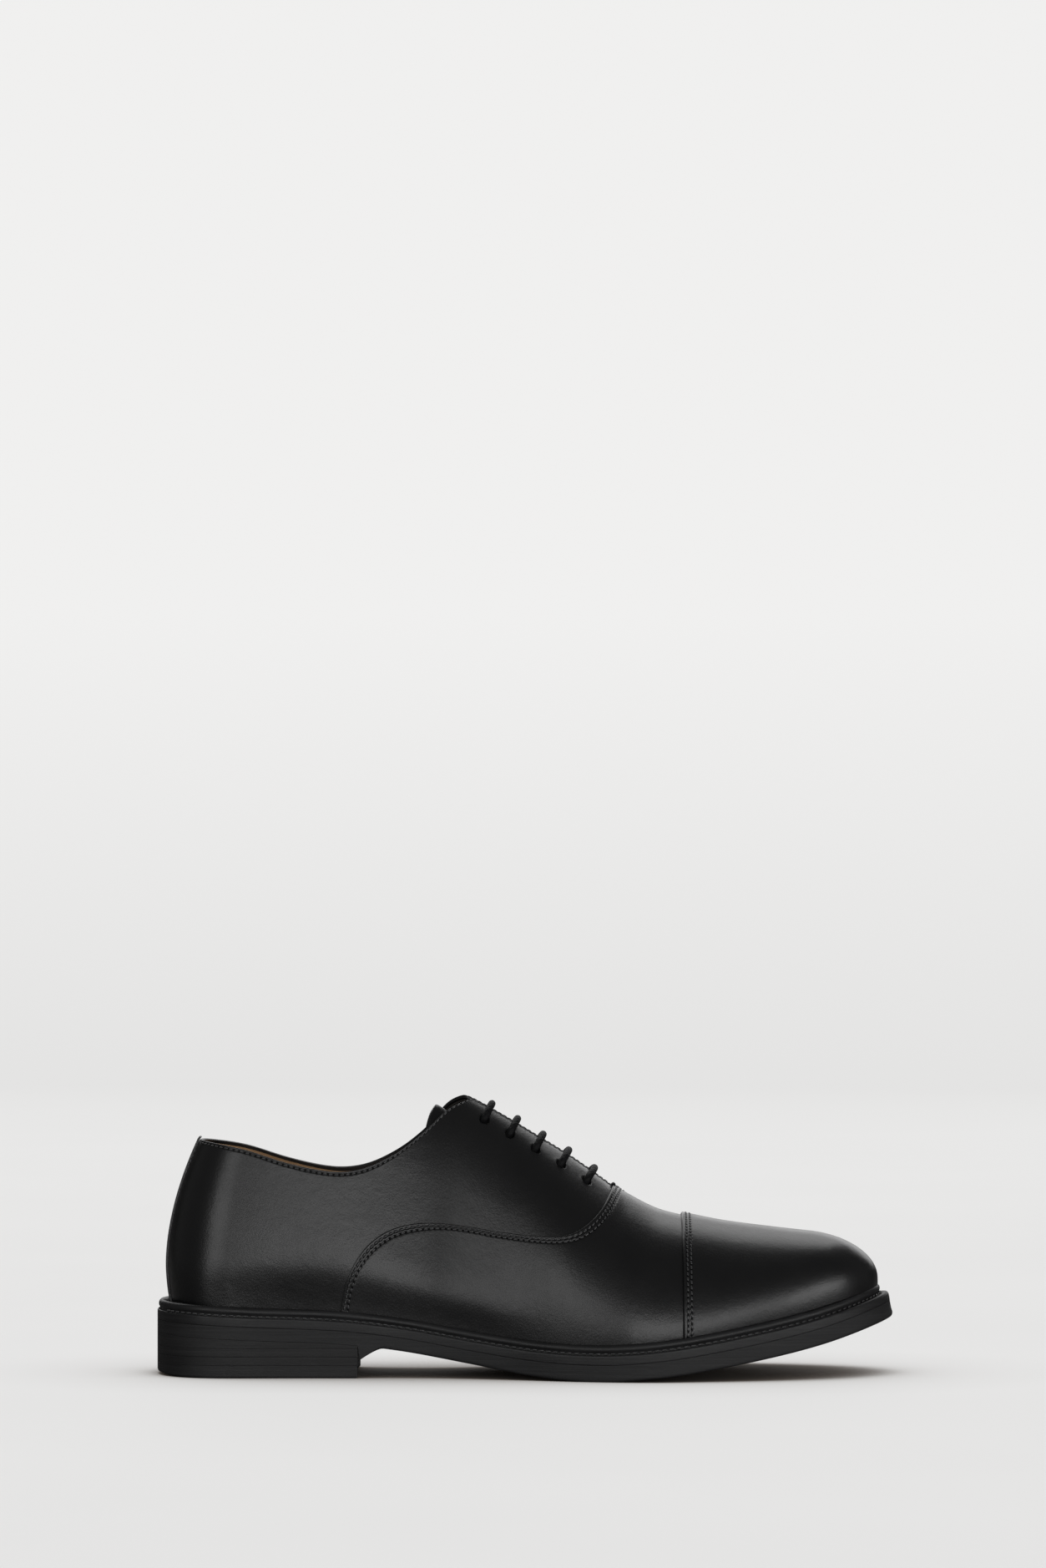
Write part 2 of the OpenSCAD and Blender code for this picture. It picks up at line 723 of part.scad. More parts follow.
// Heel: three leather lifts under the seat and a rubber top piece.
lift_gap = 0.06;
nail_r = 1;
nail_ring = [[16, 0], [26, -17], [26, 17], [56, -18], [56, 18]];
module heel_plan() {
    intersection() {
        plan(0, 0);
        difference() {
            translate([-origin_x - 1, -60]) square([heel_len + 1, 120]);
            translate([heel_len - origin_x + 148, 0]) circle(r = 150, $fn = 180);
        }
    }
}
module nail_holes(from, to, r) {
    for (p = nail_ring)
        translate([p[0] * stretch - origin_x, p[1], from])
            cylinder(r = r, h = to - from, $fn = 20);
}
module heel_slab(low, high) {
    difference() {
        translate([0, 0, low]) linear_extrude(height = high - low) heel_plan();
        nail_holes(low - 1, high + 1, nail_r + 0.05);
    }
}
module heel_top_piece() {
    color("#2a2a2b") linear_extrude(height = top_piece_t) heel_plan();
}
lift_1 = top_piece_t + lift_gap;
lift_2 = lift_1 + lift_t + lift_gap;
lift_3 = lift_2 + lift_t + lift_gap;
module heel_lift_lower() {
    color("#3a3634") heel_slab(lift_1, lift_1 + lift_t);
}
module heel_lift_middle() {
    color("#393533") heel_slab(lift_2, lift_2 + lift_t);
}
module heel_lift_upper() {
    color("#3b3735")
        intersection() {
            heel_slab(lift_3, 22);
            between(function(x) lift_3 - 1, function(x) max(tread_z(x) - lift_gap, lift_3));
        }
}
module heel_nails() {
    color("#9a9a9d") nail_holes(lift_1 + 0.2, lift_3 - 0.2, nail_r);
}

toe_cap();
vamp();
quarter(lateral);  // quarter_lateral
quarter(medial);  // quarter_medial
back_strip();
tongue();
tongue_lining();
vamp_lining();
quarter_lining(lateral);  // quarter_lining_lateral
quarter_lining(medial);  // quarter_lining_medial
toe_puff();
heel_counter();
facing_stay(lateral);  // facing_stay_lateral
facing_stay(medial);  // facing_stay_medial
blind_eyelets();
lace();
lace_tips();
bar_tack();
sock_lining();
insole();
insole_rib();
cork_filler();
shank();
welt();
welt_stitching();
outsole_part(false);  // outsole_rear
outsole_part(true);  // outsole_forepart
heel_lift_upper();
heel_lift_middle();
heel_lift_lower();
heel_top_piece();
heel_nails();
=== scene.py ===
"""Cap-toe oxford shoe, right foot: surfaces, stitching, lace, sole and studio.

The shoe's skin is worked out in millimetres from the heel back (x), the middle (y) and the ground (z). It
follows the CAD frame's rules except in section_power(), which is fuller at the toe, and is then put at the
frame's own place and size.
"""

import math

import bmesh
import bpy
import numpy as np
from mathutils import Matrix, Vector


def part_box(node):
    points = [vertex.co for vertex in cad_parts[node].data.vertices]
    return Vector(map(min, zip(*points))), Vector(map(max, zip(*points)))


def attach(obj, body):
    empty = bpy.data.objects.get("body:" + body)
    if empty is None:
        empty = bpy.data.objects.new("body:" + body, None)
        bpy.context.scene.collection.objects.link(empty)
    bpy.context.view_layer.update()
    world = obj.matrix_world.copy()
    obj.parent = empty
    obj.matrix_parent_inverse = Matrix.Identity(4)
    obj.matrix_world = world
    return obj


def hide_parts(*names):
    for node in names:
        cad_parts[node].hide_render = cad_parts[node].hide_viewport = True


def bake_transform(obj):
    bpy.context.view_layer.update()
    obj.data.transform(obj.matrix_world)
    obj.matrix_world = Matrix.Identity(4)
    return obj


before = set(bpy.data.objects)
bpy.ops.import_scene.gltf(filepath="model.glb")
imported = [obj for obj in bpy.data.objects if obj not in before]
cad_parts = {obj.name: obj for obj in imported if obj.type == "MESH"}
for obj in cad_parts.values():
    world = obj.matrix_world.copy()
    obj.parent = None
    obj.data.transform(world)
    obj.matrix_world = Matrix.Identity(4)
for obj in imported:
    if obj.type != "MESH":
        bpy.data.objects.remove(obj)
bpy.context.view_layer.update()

# ---------------------------------------------------------------- frame and driving sizes
BACK, FORE, TONGUE = "shoe_back", "forefoot", "tongue_flap"
sole_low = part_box("outsole_rear")[0]
sole_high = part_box("outsole_forepart")[1]
DESIGN_LEN = 302.0
MM = (sole_high.x - sole_low.x) / DESIGN_LEN
HEEL_BACK = Vector((sole_low.x, 0, 0))
BREAST_X = (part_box("heel_top_piece")[1].x - sole_low.x) / MM
TOP_PIECE_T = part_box("heel_top_piece")[1].z / MM
HEEL_HALF_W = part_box("heel_top_piece")[1].y / MM
WAIST_HALF_W = 30.0
BALL_HALF_W = (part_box("welt")[1].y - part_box("welt")[0].y) / 2 / MM

WELT_T, BEAD_H = 4.0, 4.0
OUTSOLE_WAIST_T, OUTSOLE_FORE_T = 5.3, 6.8
MARGIN_HEEL, MARGIN_TOE = 4.0, 7.0
LEATHER_T, LINING_T = 1.2, 0.8
LATERAL, MEDIAL = -1.0, 1.0
SKIN_LEN = DESIGN_LEN - MARGIN_HEEL - MARGIN_TOE

# Depths below the skin; a minus stands proud of it.
LAP = -1.0
BASE = 0.3
LINING = 3.05
TONGUE_DEPTH = 7.0
LACE_R = 1.45

rng = np.random.default_rng(7)


def to_frame(points):
    """Design millimetres to frame metres."""
    return np.asarray(points, float) * MM + np.array(HEEL_BACK)


# ---------------------------------------------------------------- curves
def curve(points, x):
    """Smooth curve through [station, value] points, held beyond the ends."""
    p = np.asarray(points, float)
    s, v = p[:, 0], p[:, 1]
    n = len(s)
    before = np.maximum(np.arange(n) - 1, 0)
    after = np.minimum(np.arange(n) + 1, n - 1)
    slope = (v[after] - v[before]) / (s[after] - s[before])
    i = np.clip(np.searchsorted(s, x, side="right") - 1, 0, n - 2)
    h = s[i + 1] - s[i]
    t = np.clip((x - s[i]) / h, 0, 1)
    t2, t3 = t * t, t * t * t
    return (
        v[i] * (2 * t3 - 3 * t2 + 1) + slope[i] * h * (t3 - 2 * t2 + t)
        + v[i + 1] * (3 * t2 - 2 * t3) + slope[i + 1] * h * (t3 - t2)
    )


def mix(a, b, t):
    return a + (b - a) * t


def ramp(x, a, b):
    t = np.clip((x - a) / (b - a), 0, 1)
    return t * t * (3 - 2 * t)


def round_end(s, n):
    return (1 - np.clip(s, 0, 1) ** n) ** (1 / n)


def eased(n):
    return (1 - np.cos(np.linspace(0, math.pi, n))) / 2


# ---------------------------------------------------------------- the last: plan, profile, skin
HALF_WIDTH = [
    (0, HEEL_HALF_W), (35, HEEL_HALF_W), (72, HEEL_HALF_W - 2), (112, WAIST_HALF_W),
    (142, mix(WAIST_HALF_W, BALL_HALF_W, 0.28)), (170, mix(WAIST_HALF_W, BALL_HALF_W, 0.72)),
    (198, BALL_HALF_W), (225, BALL_HALF_W - 0.5),
]
CENTRE_LINE = [(0, 0), (50, 0), (115, -4), (170, -4.5), (205, -2.5), (245, 0), (302, 2.5)]
RIDGE_LINE = [(0, 0), (60, 0), (127, 1), (190, 1), (250, 1), (302, 2.5)]
RIM_TOP = [
    (0, 26.6), (40, 24.6), (75, 23.2), (100, 20.4), (128, 15.6), (155, 11.9), (183, 10.8),
    (210, 12.9), (240, 17.9), (272, 24.9), (302, 34.2),
]
RIDGE_TOP = [
    (0, 152), (45, 152), (72, 146), (98, 129), (113, 119), (127, 114.3), (140, 107.3),
    (155, 98.3), (170, 89), (183, 79.8), (192, 73.2), (203, 68), (214, 65.3),
    (232, 61.6), (255, 58.6), (270, 56.9), (302, 53),
]
TOPLINE = [
    (16, 96.2), (35, 93), (52, 88), (66, 84.8), (76, 83.9), (86, 85.6), (96, 90.2),
    (105, 96), (113, 102), (119, 108.2), (123, 111.6), (128, 113.6),
]
VAMP_EDGE = [
    (76, 27), (78, 37), (82, 46.6), (88, 54.4), (97, 60), (109, 62.4), (124, 61.6),
    (142, 58.9), (160, 57.4), (169, 58.4), (176, 62.2), (182, 68.2), (187.5, 77.6),
]
VAMP_START_X, VAMP_END_X = VAMP_EDGE[0][0], VAMP_EDGE[-1][0]
HEEL_ROUND_X, TOE_ROUND_X = 31.0, 205.0
NOSE_X, NOSE_Z = 268.0, 37.0
THROAT_X, CAP_X, FACING_X = 188.0, 215.0, 128.0
QUARTER_FRONT_X = THROAT_X + 1.5
HEEL_SEAM_F = 5e-5
# The skin turns a quarter circle and then tucks under towards the feather edge.
UNDER_DEG = 14
SIDE_DEG = 90 + UNDER_DEG
UNDER = math.radians(UNDER_DEG)
LEAN_END, LEAN_LEVEL = 0.37, 45
FACING_GAP = {LATERAL: 3.0, MEDIAL: 2.0}


def edge_x(f, heel_in, toe_in):
    return heel_in + f * (DESIGN_LEN - heel_in - toe_in)


def edge_w(f, heel_in, toe_in):
    x = edge_x(f, heel_in, toe_in)
    width = curve(HALF_WIDTH, x) - mix(heel_in, toe_in, f)
    heel = round_end((HEEL_ROUND_X - x) / (HEEL_ROUND_X - heel_in), 2.3)
    toe = round_end((x - TOE_ROUND_X) / (DESIGN_LEN - toe_in - TOE_ROUND_X), 2.05)
    return width * heel * toe


def rim_z(x):
    return curve(RIM_TOP, x)


def outsole_t(x):
    return mix(OUTSOLE_WAIST_T, OUTSOLE_FORE_T, ramp(x, 120, 178))


def last_foot(x):
    return rim_z(x) - WELT_T + 1


def crest(x, toe_in):
    top = curve(RIDGE_TOP, x)
    s = (x - NOSE_X) / (DESIGN_LEN - toe_in - NOSE_X)
    return np.where(x < NOSE_X, top, NOSE_Z + (top - NOSE_Z) * round_end(s, 2.2))


def section_power(x):
    """Above 1 the widest place of the section sinks towards the sole; below 1 it rises."""
    return 1 + 0.11 * ramp(x, 165, 205) - 0.45 * ramp(x, 212, 290)


def at_x(x):
    return (x - MARGIN_HEEL) / SKIN_LEN


def x_of(f):
    return edge_x(f, MARGIN_HEEL, MARGIN_TOE)


def girth(x, t):
    """Barrel of the quarters: widest a little above the sole, egg-shaped round the heel."""
    back = 1 - ramp(x, 120, 168)
    barrel = 0.045 * np.exp(-((t - 0.17) / 0.14) ** 2) * ramp(t, 0.02, 0.2) - 0.07 * ramp(t, 0.2, 0.6)
    return 1 + back * barrel - 0.22 * np.clip(1 - x / 72, 0, 1) ** 2 * ramp(t, 0.02, 0.25)


def heel_lean(f, z):
    """How far forward the heel leans at this height."""
    return 0.011 * np.abs(z - LEAN_LEVEL) ** 1.8 * np.clip(1 - f / LEAN_END, 0, 1) ** 2


def skin(f, turn, depth=0.0):
    """Point of the skin. f runs heel 0 to toe 1; turn runs lateral feather edge -1, ridge 0,
    medial feather edge 1; depth is inwards."""
    f, turn, depth = np.broadcast_arrays(*(np.asarray(v, float) for v in (f, turn, depth)))
    heel_in, toe_in = MARGIN_HEEL + depth, MARGIN_TOE + depth
    x = edge_x(f, heel_in, toe_in)
    w = edge_w(f, heel_in, toe_in)
    psi = math.pi / 2 - np.abs(turn) * (math.pi / 2 + UNDER)
    low = math.sin(UNDER)
    t = np.maximum((np.sin(psi) + low) / (1 + low), 0) ** section_power(x)
    foot = last_foot(x)
    z = foot + (crest(x, toe_in) - depth - foot) * t
    middle = mix(curve(CENTRE_LINE, x), curve(RIDGE_LINE, x), t)
    y = middle + np.sign(turn) * w * np.cos(psi) * girth(x, t)
    return np.stack([x + heel_lean(f, z), y, z], -1)


def turn_at(f, z):
    """How far from the ridge (0) to the feather edge (1) the skin has height z."""
    x = x_of(f)
    foot = last_foot(x)
    low = math.sin(UNDER)
    t = np.clip((z - foot) / (crest(x, MARGIN_TOE) - foot), 0, 1)
    psi = np.arcsin(np.minimum(t ** (1 / section_power(x)) * (1 + low) - low, 1))
    return (math.pi / 2 - psi) / (math.pi / 2 + UNDER)


def skin_normal(f, turn):
    e = 1e-3
    along = skin(f + e, turn) - skin(f - e, turn)
    across = skin(f, turn + e) - skin(f, turn - e)
    n = np.cross(along, across)
    return n / np.linalg.norm(n, axis=-1, keepdims=True)


# ---------------------------------------------------------------- lines on the skin
def row_length(points):
    """Length run from the start of a line to each of its points."""
    return np.concatenate([[0], np.cumsum(np.linalg.norm(np.diff(points, axis=0), axis=1))])


def resample(places, n, depth=0.0):
    """n places evenly spaced along a line of [f, turn] places."""
    places = np.asarray(places, float)
    s = row_length(skin(places[:, 0], places[:, 1], depth))
    goal = np.linspace(0, s[-1], n)
    return np.stack([np.interp(goal, s, places[:, k]) for k in (0, 1)], 1)


def soften(places, rounds, first=1, last=-1):
    """Rounds the corners of a finely sampled line, ends kept."""
    p = np.array(places, float)
    for _ in range(rounds):
        p[first:last] = p[first:last] + 0.5 * ((p[first - 1:last - 1] + p[first + 1:last + 1 or None]) / 2
                                               - p[first:last])
    return p


def neck_line(n):
    """The vamp's swan-neck edge, lateral feather edge to throat to medial feather edge."""
    x = mix(VAMP_START_X, VAMP_END_X, np.linspace(0, 1, 400) ** 1.35)
    f = at_x(x)
    turn = turn_at(f, curve(VAMP_EDGE, x))
    turn[0] = 1
    half = np.stack([f, -turn], 1)
    throat = np.array([[at_x(THROAT_X + 1), 0.0]])
    other = half[::-1] * [1, -1]
    line = resample(np.concatenate([half, throat, other]), n)
    return soften(line, 12)


def quarter_top_line(side, n):
    """Heel seam, along the topline, round the facing's corner and down to the throat."""
    s = np.linspace(0, 1, 500) ** 1.6
    f = mix(HEEL_SEAM_F, at_x(FACING_X), s)
    edge_turn = facing_turn(f, side)
    x = x_of(f) + heel_lean(f, 2 * LEAN_LEVEL)
    if side == LATERAL:
        top = curve(TOPLINE, x + 1.6 * ramp(x, 98, 116)) - 1.5 * np.exp(-((x - 124) / 9) ** 2)
    else:
        top = curve(TOPLINE, x + 2.4 * ramp(x, 100, 118)) + 0.7 * ramp(x, 110, 120)
    turn = np.maximum(turn_at(f, top), edge_turn)
    g = np.linspace(at_x(FACING_X), at_x(QUARTER_FRONT_X), 200)[1:]
    line = np.concatenate([np.stack([f, turn], 1), np.stack([g, facing_turn(g, side)], 1)])
    line = soften(resample(line, n), 22)
    return line * [1, side]


def facing_turn(f, side):
    gap = FACING_GAP[side]
    w = np.maximum(edge_w(f, MARGIN_HEEL, MARGIN_TOE), gap * 1.01)
    return (math.pi / 2 - np.arccos(gap / w)) / (math.pi / 2 + UNDER)


def quarter_base_line(side, n):
    """Along the feather edge, then under the vamp's lap up to the throat."""
    lap = 8
    f = mix(HEEL_SEAM_F, at_x(VAMP_START_X + lap), np.linspace(0, 1, 200) ** 1.5)
    x = mix(VAMP_START_X + lap, QUARTER_FRONT_X, np.linspace(0, 1, 300)[1:])
    g = at_x(x)
    turn = np.clip(turn_at(g, curve(VAMP_EDGE, x - lap) - lap), 0, 1)
    line = np.concatenate([np.stack([f, np.ones_like(f)], 1), np.stack([g, turn], 1)])
    return resample(line, n) * [1, side]


# ---------------------------------------------------------------- meshes
def new_mesh(name, points, faces, smooth_angle=40, seam=None):
    mesh = bpy.data.meshes.new(name)
    mesh.from_pydata(to_frame(points).tolist(), [], faces)
    if seam is not None:
        mesh.attributes.new("seam", "FLOAT", "POINT").data.foreach_set("value", seam.astype(np.float32))
    obj = bpy.data.objects.new(name, mesh)
    bpy.context.scene.collection.objects.link(obj)
    tidy_mesh(mesh, smooth_angle)
    return obj


def tidy_mesh(mesh, smooth_angle):
    """Welds doubled points, drops empty faces and shades smooth."""
    bm = bmesh.new()
    bm.from_mesh(mesh)
    bmesh.ops.remove_doubles(bm, verts=bm.verts, dist=2e-6)
    bmesh.ops.dissolve_degenerate(bm, edges=bm.edges, dist=1e-7)
    bmesh.ops.recalc_face_normals(bm, faces=bm.faces)
    bm.to_mesh(mesh)
    bm.free()
    mesh.shade_smooth()
    mesh.set_sharp_from_angle(angle=math.radians(smooth_angle))


def grid_faces(ni, nj, start=0, flip=False, wrap_i=False, wrap_j=False):
    i = np.arange(ni if wrap_i else ni - 1)
    j = np.arange(nj if wrap_j else nj - 1)
    i, j = (a.ravel() for a in np.meshgrid(i, j, indexing="ij"))
    i2, j2 = (i + 1) % ni, (j + 1) % nj
    quads = np.stack([i * nj + j, i2 * nj + j, i2 * nj + j2, i * nj + j2], 1) + start
    return (quads[:, ::-1] if flip else quads).tolist()


def sheet(name, outer, inner, seam=None):
    """Closed shell between two grids of points, with walls on all four borders."""
    ni, nj = outer.shape[:2]
    ring = (
        [(i, 0) for i in range(ni)] + [(ni - 1, j) for j in range(1, nj)]
        + [(i, nj - 1) for i in range(ni - 2, -1, -1)] + [(0, j) for j in range(nj - 2, 0, -1)]
    )
    index = [i * nj + j for i, j in ring]
    size = ni * nj
    walls = [
        [index[k], index[(k + 1) % len(ring)], index[(k + 1) % len(ring)] + size, index[k] + size]
        for k in range(len(ring))
    ]
    points = np.concatenate([outer.reshape(-1, 3), inner.reshape(-1, 3)])
    faces = grid_faces(ni, nj) + grid_faces(ni, nj, size, flip=True) + walls
    if seam is not None:
        seam = np.concatenate([seam.ravel(), np.zeros(size)])
    return new_mesh(name, points, faces, seam=seam)


# Rows crowd at a leather edge, where it rolls over and where the stitches pull it in.
EDGE_STEPS = np.array([
    0, 0.06, 0.16, 0.3, 0.5, 0.75, 1.0, 1.25, 1.5, 1.75, 2.0, 2.3, 2.6, 2.85, 3.1, 3.35, 3.6, 4.0, 4.6,
    5.4, 6.4, 7.6, 9.0,
])


def band(edge, base, spread_rows):
    """Places between two lines, with rows at set distances (mm) from the edge line.
    Gives (places, distance from edge)."""
    edge, base = np.asarray(edge), np.asarray(base)
    t = np.linspace(0, 1, 20)[None, :, None]
    path = edge[:, None] * (1 - t) + base[:, None] * t
    p = skin(path[..., 0], path[..., 1])
    length = np.linalg.norm(np.diff(p, axis=1), axis=2).sum(1)
    scale = np.minimum(1, length * 0.6 / EDGE_STEPS[-1])
    near = EDGE_STEPS[None, :] * scale[:, None]
    rest = np.linspace(0, 1, spread_rows + 1)[1:]
    far = near[:, -1:] + (length[:, None] - near[:, -1:]) * rest[None, :]
    distance = np.concatenate([near, far], 1)
    g = (distance / length[:, None])[..., None]
    return edge[:, None] * (1 - g) + base[:, None] * g, distance


def rolled(distance, radius):
    """Extra depth of a rounded edge of this radius."""
    d = np.clip(radius - distance, 0, radius)
    return radius - np.sqrt(np.maximum(radius ** 2 - d ** 2, 0))


STITCH_PITCH, STITCH_LEN = 2.35, 1.7


def row_starts(s, pitch, length):
    """Centres of evenly spaced stitches along a row of this length."""
    count = int((s[-1] - length) / pitch)
    return (s[-1] - count * pitch) / 2 + pitch * np.arange(count + 1)


def seam_dips(places, distance, rows, depth=0.26, width=0.42):
    """Grooves pulled in by rows of stitches, deepest at the needle holes between them, and how
    much of a needle hole each point is."""
    dips, holes = np.zeros(distance.shape), np.zeros(distance.shape)
    for away in rows:
        line = offset_line(places, distance, away)
        s = row_length(skin(line[:, 0], line[:, 1]))
        first = row_starts(s, STITCH_PITCH, STITCH_LEN)[0]
        hole = 0.5 - 0.5 * np.cos(2 * math.pi * (s - first) / STITCH_PITCH)
        dips += depth * (0.45 + 1.1 * hole[:, None] ** 2) * np.exp(-((distance - away) / width) ** 2)
        holes += (0.35 + 0.65 * hole[:, None] ** 2) * np.exp(-((distance - away) / 0.42) ** 4)
    return dips, np.clip(holes, 0, 1)


def leather_sheet(name, places, distance, base_depth, seam_rows=(), thickness=LEATHER_T, extra=0.0):
    f, turn = places[..., 0], places[..., 1]
    dips, holes = seam_dips(places, distance, seam_rows)
    depth = base_depth + rolled(distance, 0.55) + dips + extra
    return sheet(name, skin(f, turn, depth), skin(f, turn, base_depth + thickness), holes)


def offset_line(places, distance, away):
    """The line of places at one distance from a band's edge."""
    return np.array([
        [np.interp(away, d, place[:, k]) for k in (0, 1)] for d, place in zip(distance, places)
    ])


# ---------------------------------------------------------------- stitches
def capsule(segments=8, rings=6):
    """Unit stitch: long along x, rounded ends."""
    a = np.linspace(-math.pi / 2, math.pi / 2, rings)
    x = np.sign(np.sin(a)) * np.abs(np.sin(a)) ** 0.7
    r = np.abs(np.cos(a)) ** 0.55
    t = np.arange(segments) * 2 * math.pi / segments
    points = np.stack([
        np.repeat(x, segments), np.outer(r, np.cos(t)).ravel(), np.outer(r, np.sin(t)).ravel()
    ], 1)
    return points, grid_faces(rings, segments, wrap_j=True)


def point_along(s, points, g):
    return np.array([np.interp(g, s, points[:, k]) for k in range(3)])


def stitches(name, lines, pitch=STITCH_PITCH, length=STITCH_LEN, radius=0.35, slant=7, sink=0.02):
    """Threads laid along lines of (points, normals)."""
    unit, unit_faces = capsule()
    all_points, faces = [], []
    for points, normals in lines:
        s = row_length(points)
        for g in row_starts(s, pitch, length):
            c = point_along(s, points, g)
            n = point_along(s, normals, g)
            t = point_along(s, points, g + 0.4) - point_along(s, points, g - 0.4)
            t /= np.linalg.norm(t)
            n -= t * (n @ t)
            n /= np.linalg.norm(n)
            b = np.cross(n, t)
            lean = math.radians(slant + rng.normal(0, 1.5))
            t, b = t * math.cos(lean) + b * math.sin(lean), b * math.cos(lean) - t * math.sin(lean)
            size = length / 2 * (1 + rng.normal(0, 0.03))
            start = sum(len(p) for p in all_points)
            all_points.append(
                c + n * (radius * 0.35 - sink) + unit[:, :1] * t * size + unit[:, 1:2] * b * radius
                + unit[:, 2:] * n * radius * 0.85
            )
            faces += [[v + start for v in q] for q in unit_faces]
    return new_mesh(name, np.concatenate(all_points), faces, 80)


def skin_row(places, depth):
    f, turn = places[:, 0], places[:, 1]
    return skin(f, turn, depth), skin_normal(f, turn)


# ---------------------------------------------------------------- tubes
def smooth_path(points, step):
    """Catmull-Rom path through points, sampled every step mm."""
    p = np.asarray(points, float)
    ends = np.concatenate([[2 * p[0] - p[1]], p, [2 * p[-1] - p[-2]]])
    out = []
    for i in range(1, len(ends) - 2):
        a, b, c, d = ends[i - 1:i + 3]
        t = np.linspace(0, 1, 24, endpoint=False)[:, None]
        out.append(0.5 * ((2 * b) + (c - a) * t + (2 * a - 5 * b + 4 * c - d) * t ** 2
                          + (3 * b - a - 3 * c + d) * t ** 3))
    out = np.concatenate(out + [ends[-2:-1]])
    s = row_length(out)
    goal = np.linspace(0, s[-1], max(int(s[-1] / step), 4))
    return np.stack([np.interp(goal, s, out[:, k]) for k in range(3)], 1), goal


def tube(name, path, along, radius, sides=20, braid=0.0, strands=4, twist=2.2, smooth_angle=60):
    """Tube with a frame carried along the path; braid raises a diamond pattern on it."""
    d = np.gradient(path, axis=0)
    d /= np.linalg.norm(d, axis=1, keepdims=True)
    a = np.cross(d[0], [0, 0, 1.0])
    a /= np.linalg.norm(a)
    sides_a = []
    for k in range(len(path)):
        a = a - d[k] * (a @ d[k])
        a /= np.linalg.norm(a)
        sides_a.append(a)
    a = np.array(sides_a)
    b = np.cross(d, a)
    theta = np.arange(sides) * 2 * math.pi / sides
    phase = twist * along[:, None]
    weave = np.maximum(np.cos(strands * theta[None] + phase), np.cos(strands * theta[None] - phase))
    r = (radius + braid * (weave - 0.5))[..., None]
    cosine, sine = np.cos(theta)[None, :, None], np.sin(theta)[None, :, None]
    grid = path[:, None] + r * (cosine * a[:, None] + sine * b[:, None])
    n = len(path)
    faces = grid_faces(n, sides, wrap_j=True)
    faces += [list(range(sides))[::-1], [(n - 1) * sides + k for k in range(sides)]]
    return new_mesh(name, grid.reshape(-1, 3), faces, smooth_angle)


# ---------------------------------------------------------------- materials
class Nodes:
    """Short way to build a material's node tree."""

    def __init__(self, name):
        self.material = bpy.data.materials.new(name)
        self.material.use_nodes = True
        self.tree = self.material.node_tree
        self.tree.nodes.clear()
        self.out = self.add("ShaderNodeOutputMaterial")
        self.shader = self.add("ShaderNodeBsdfPrincipled")
        self.link(self.shader.outputs[0], self.out.inputs["Surface"])
        self.where = self.add("ShaderNodeTexCoord").outputs["Object"]

    def add(self, kind, **settings):
        node = self.tree.nodes.new(kind)
        for key, value in settings.items():
            setattr(node, key, value)
        return node

    def link(self, a, b):
        self.tree.links.new(a, b)

    def stretched(self, scale):
        node = self.add("ShaderNodeMapping")
        self.link(self.where, node.inputs["Vector"])
        node.inputs["Scale"].default_value = scale
        return node.outputs[0]

    def noise(self, scale, detail=3.0, rough=0.55, where=None):
        node = self.add("ShaderNodeTexNoise")
        self.link(where or self.where, node.inputs["Vector"])
        node.inputs["Scale"].default_value = scale
        node.inputs["Detail"].default_value = detail
        node.inputs["Roughness"].default_value = rough
        return node.outputs["Fac"]

    def cells(self, scale, feature="F1", where=None):
        node = self.add("ShaderNodeTexVoronoi", feature=feature)
        self.link(where or self.where, node.inputs["Vector"])
        node.inputs["Scale"].default_value = scale
        return node.outputs["Distance"]

    def spread(self, value, low, high, to_low=0.0, to_high=1.0):
        node = self.add("ShaderNodeMapRange")
        self.link(value, node.inputs["Value"])
        for key, v in (("From Min", low), ("From Max", high), ("To Min", to_low), ("To Max", to_high)):
            node.inputs[key].default_value = v
        return node.outputs[0]

    def colours(self, value, *stops):
        node = self.add("ShaderNodeValToRGB")
        ramp_ = node.color_ramp
        while len(ramp_.elements) < len(stops):
            ramp_.elements.new(0.5)
        for element, (place, colour) in zip(ramp_.elements, stops):
            element.position = place
            element.color = (*colour, 1)
        self.link(value, node.inputs["Fac"])
        return node.outputs["Color"]

    def blended(self, factor, a, b):
        node = self.add("ShaderNodeMixRGB")
        for value, socket in zip((factor, a, b), node.inputs):
            self.link(value, socket)
        return node.outputs[0]

    def maths(self, kind, a, b):
        node = self.add("ShaderNodeMath", operation=kind)
        for value, socket in ((a, node.inputs[0]), (b, node.inputs[1])):
            if isinstance(value, (int, float)):
                socket.default_value = value
            else:
                self.link(value, socket)
        return node.outputs[0]

    def bump(self, height, distance, strength=1.0, under=None):
        node = self.add("ShaderNodeBump")
        self.link(height, node.inputs["Height"])
        node.inputs["Distance"].default_value = distance
        node.inputs["Strength"].default_value = strength
        if under:
            self.link(under, node.inputs["Normal"])
        return node.outputs[0]

    def set(self, **values):
        names = {
            "colour": "Base Color", "roughness": "Roughness", "normal": "Normal", "coat": "Coat Weight",
            "coat_roughness": "Coat Roughness", "specular": "Specular IOR Level", "metallic": "Metallic",
            "sheen": "Sheen Weight", "sheen_roughness": "Sheen Roughness", "coat_normal": "Coat Normal",
            "glow": "Emission Color", "glow_strength": "Emission Strength",
        }
        for key, value in values.items():
            socket = self.shader.inputs[names[key]]
            if isinstance(value, bpy.types.NodeSocket):
                self.link(value, socket)
            else:
                socket.default_value = (*value, 1) if isinstance(value, tuple) else value
        return self.material


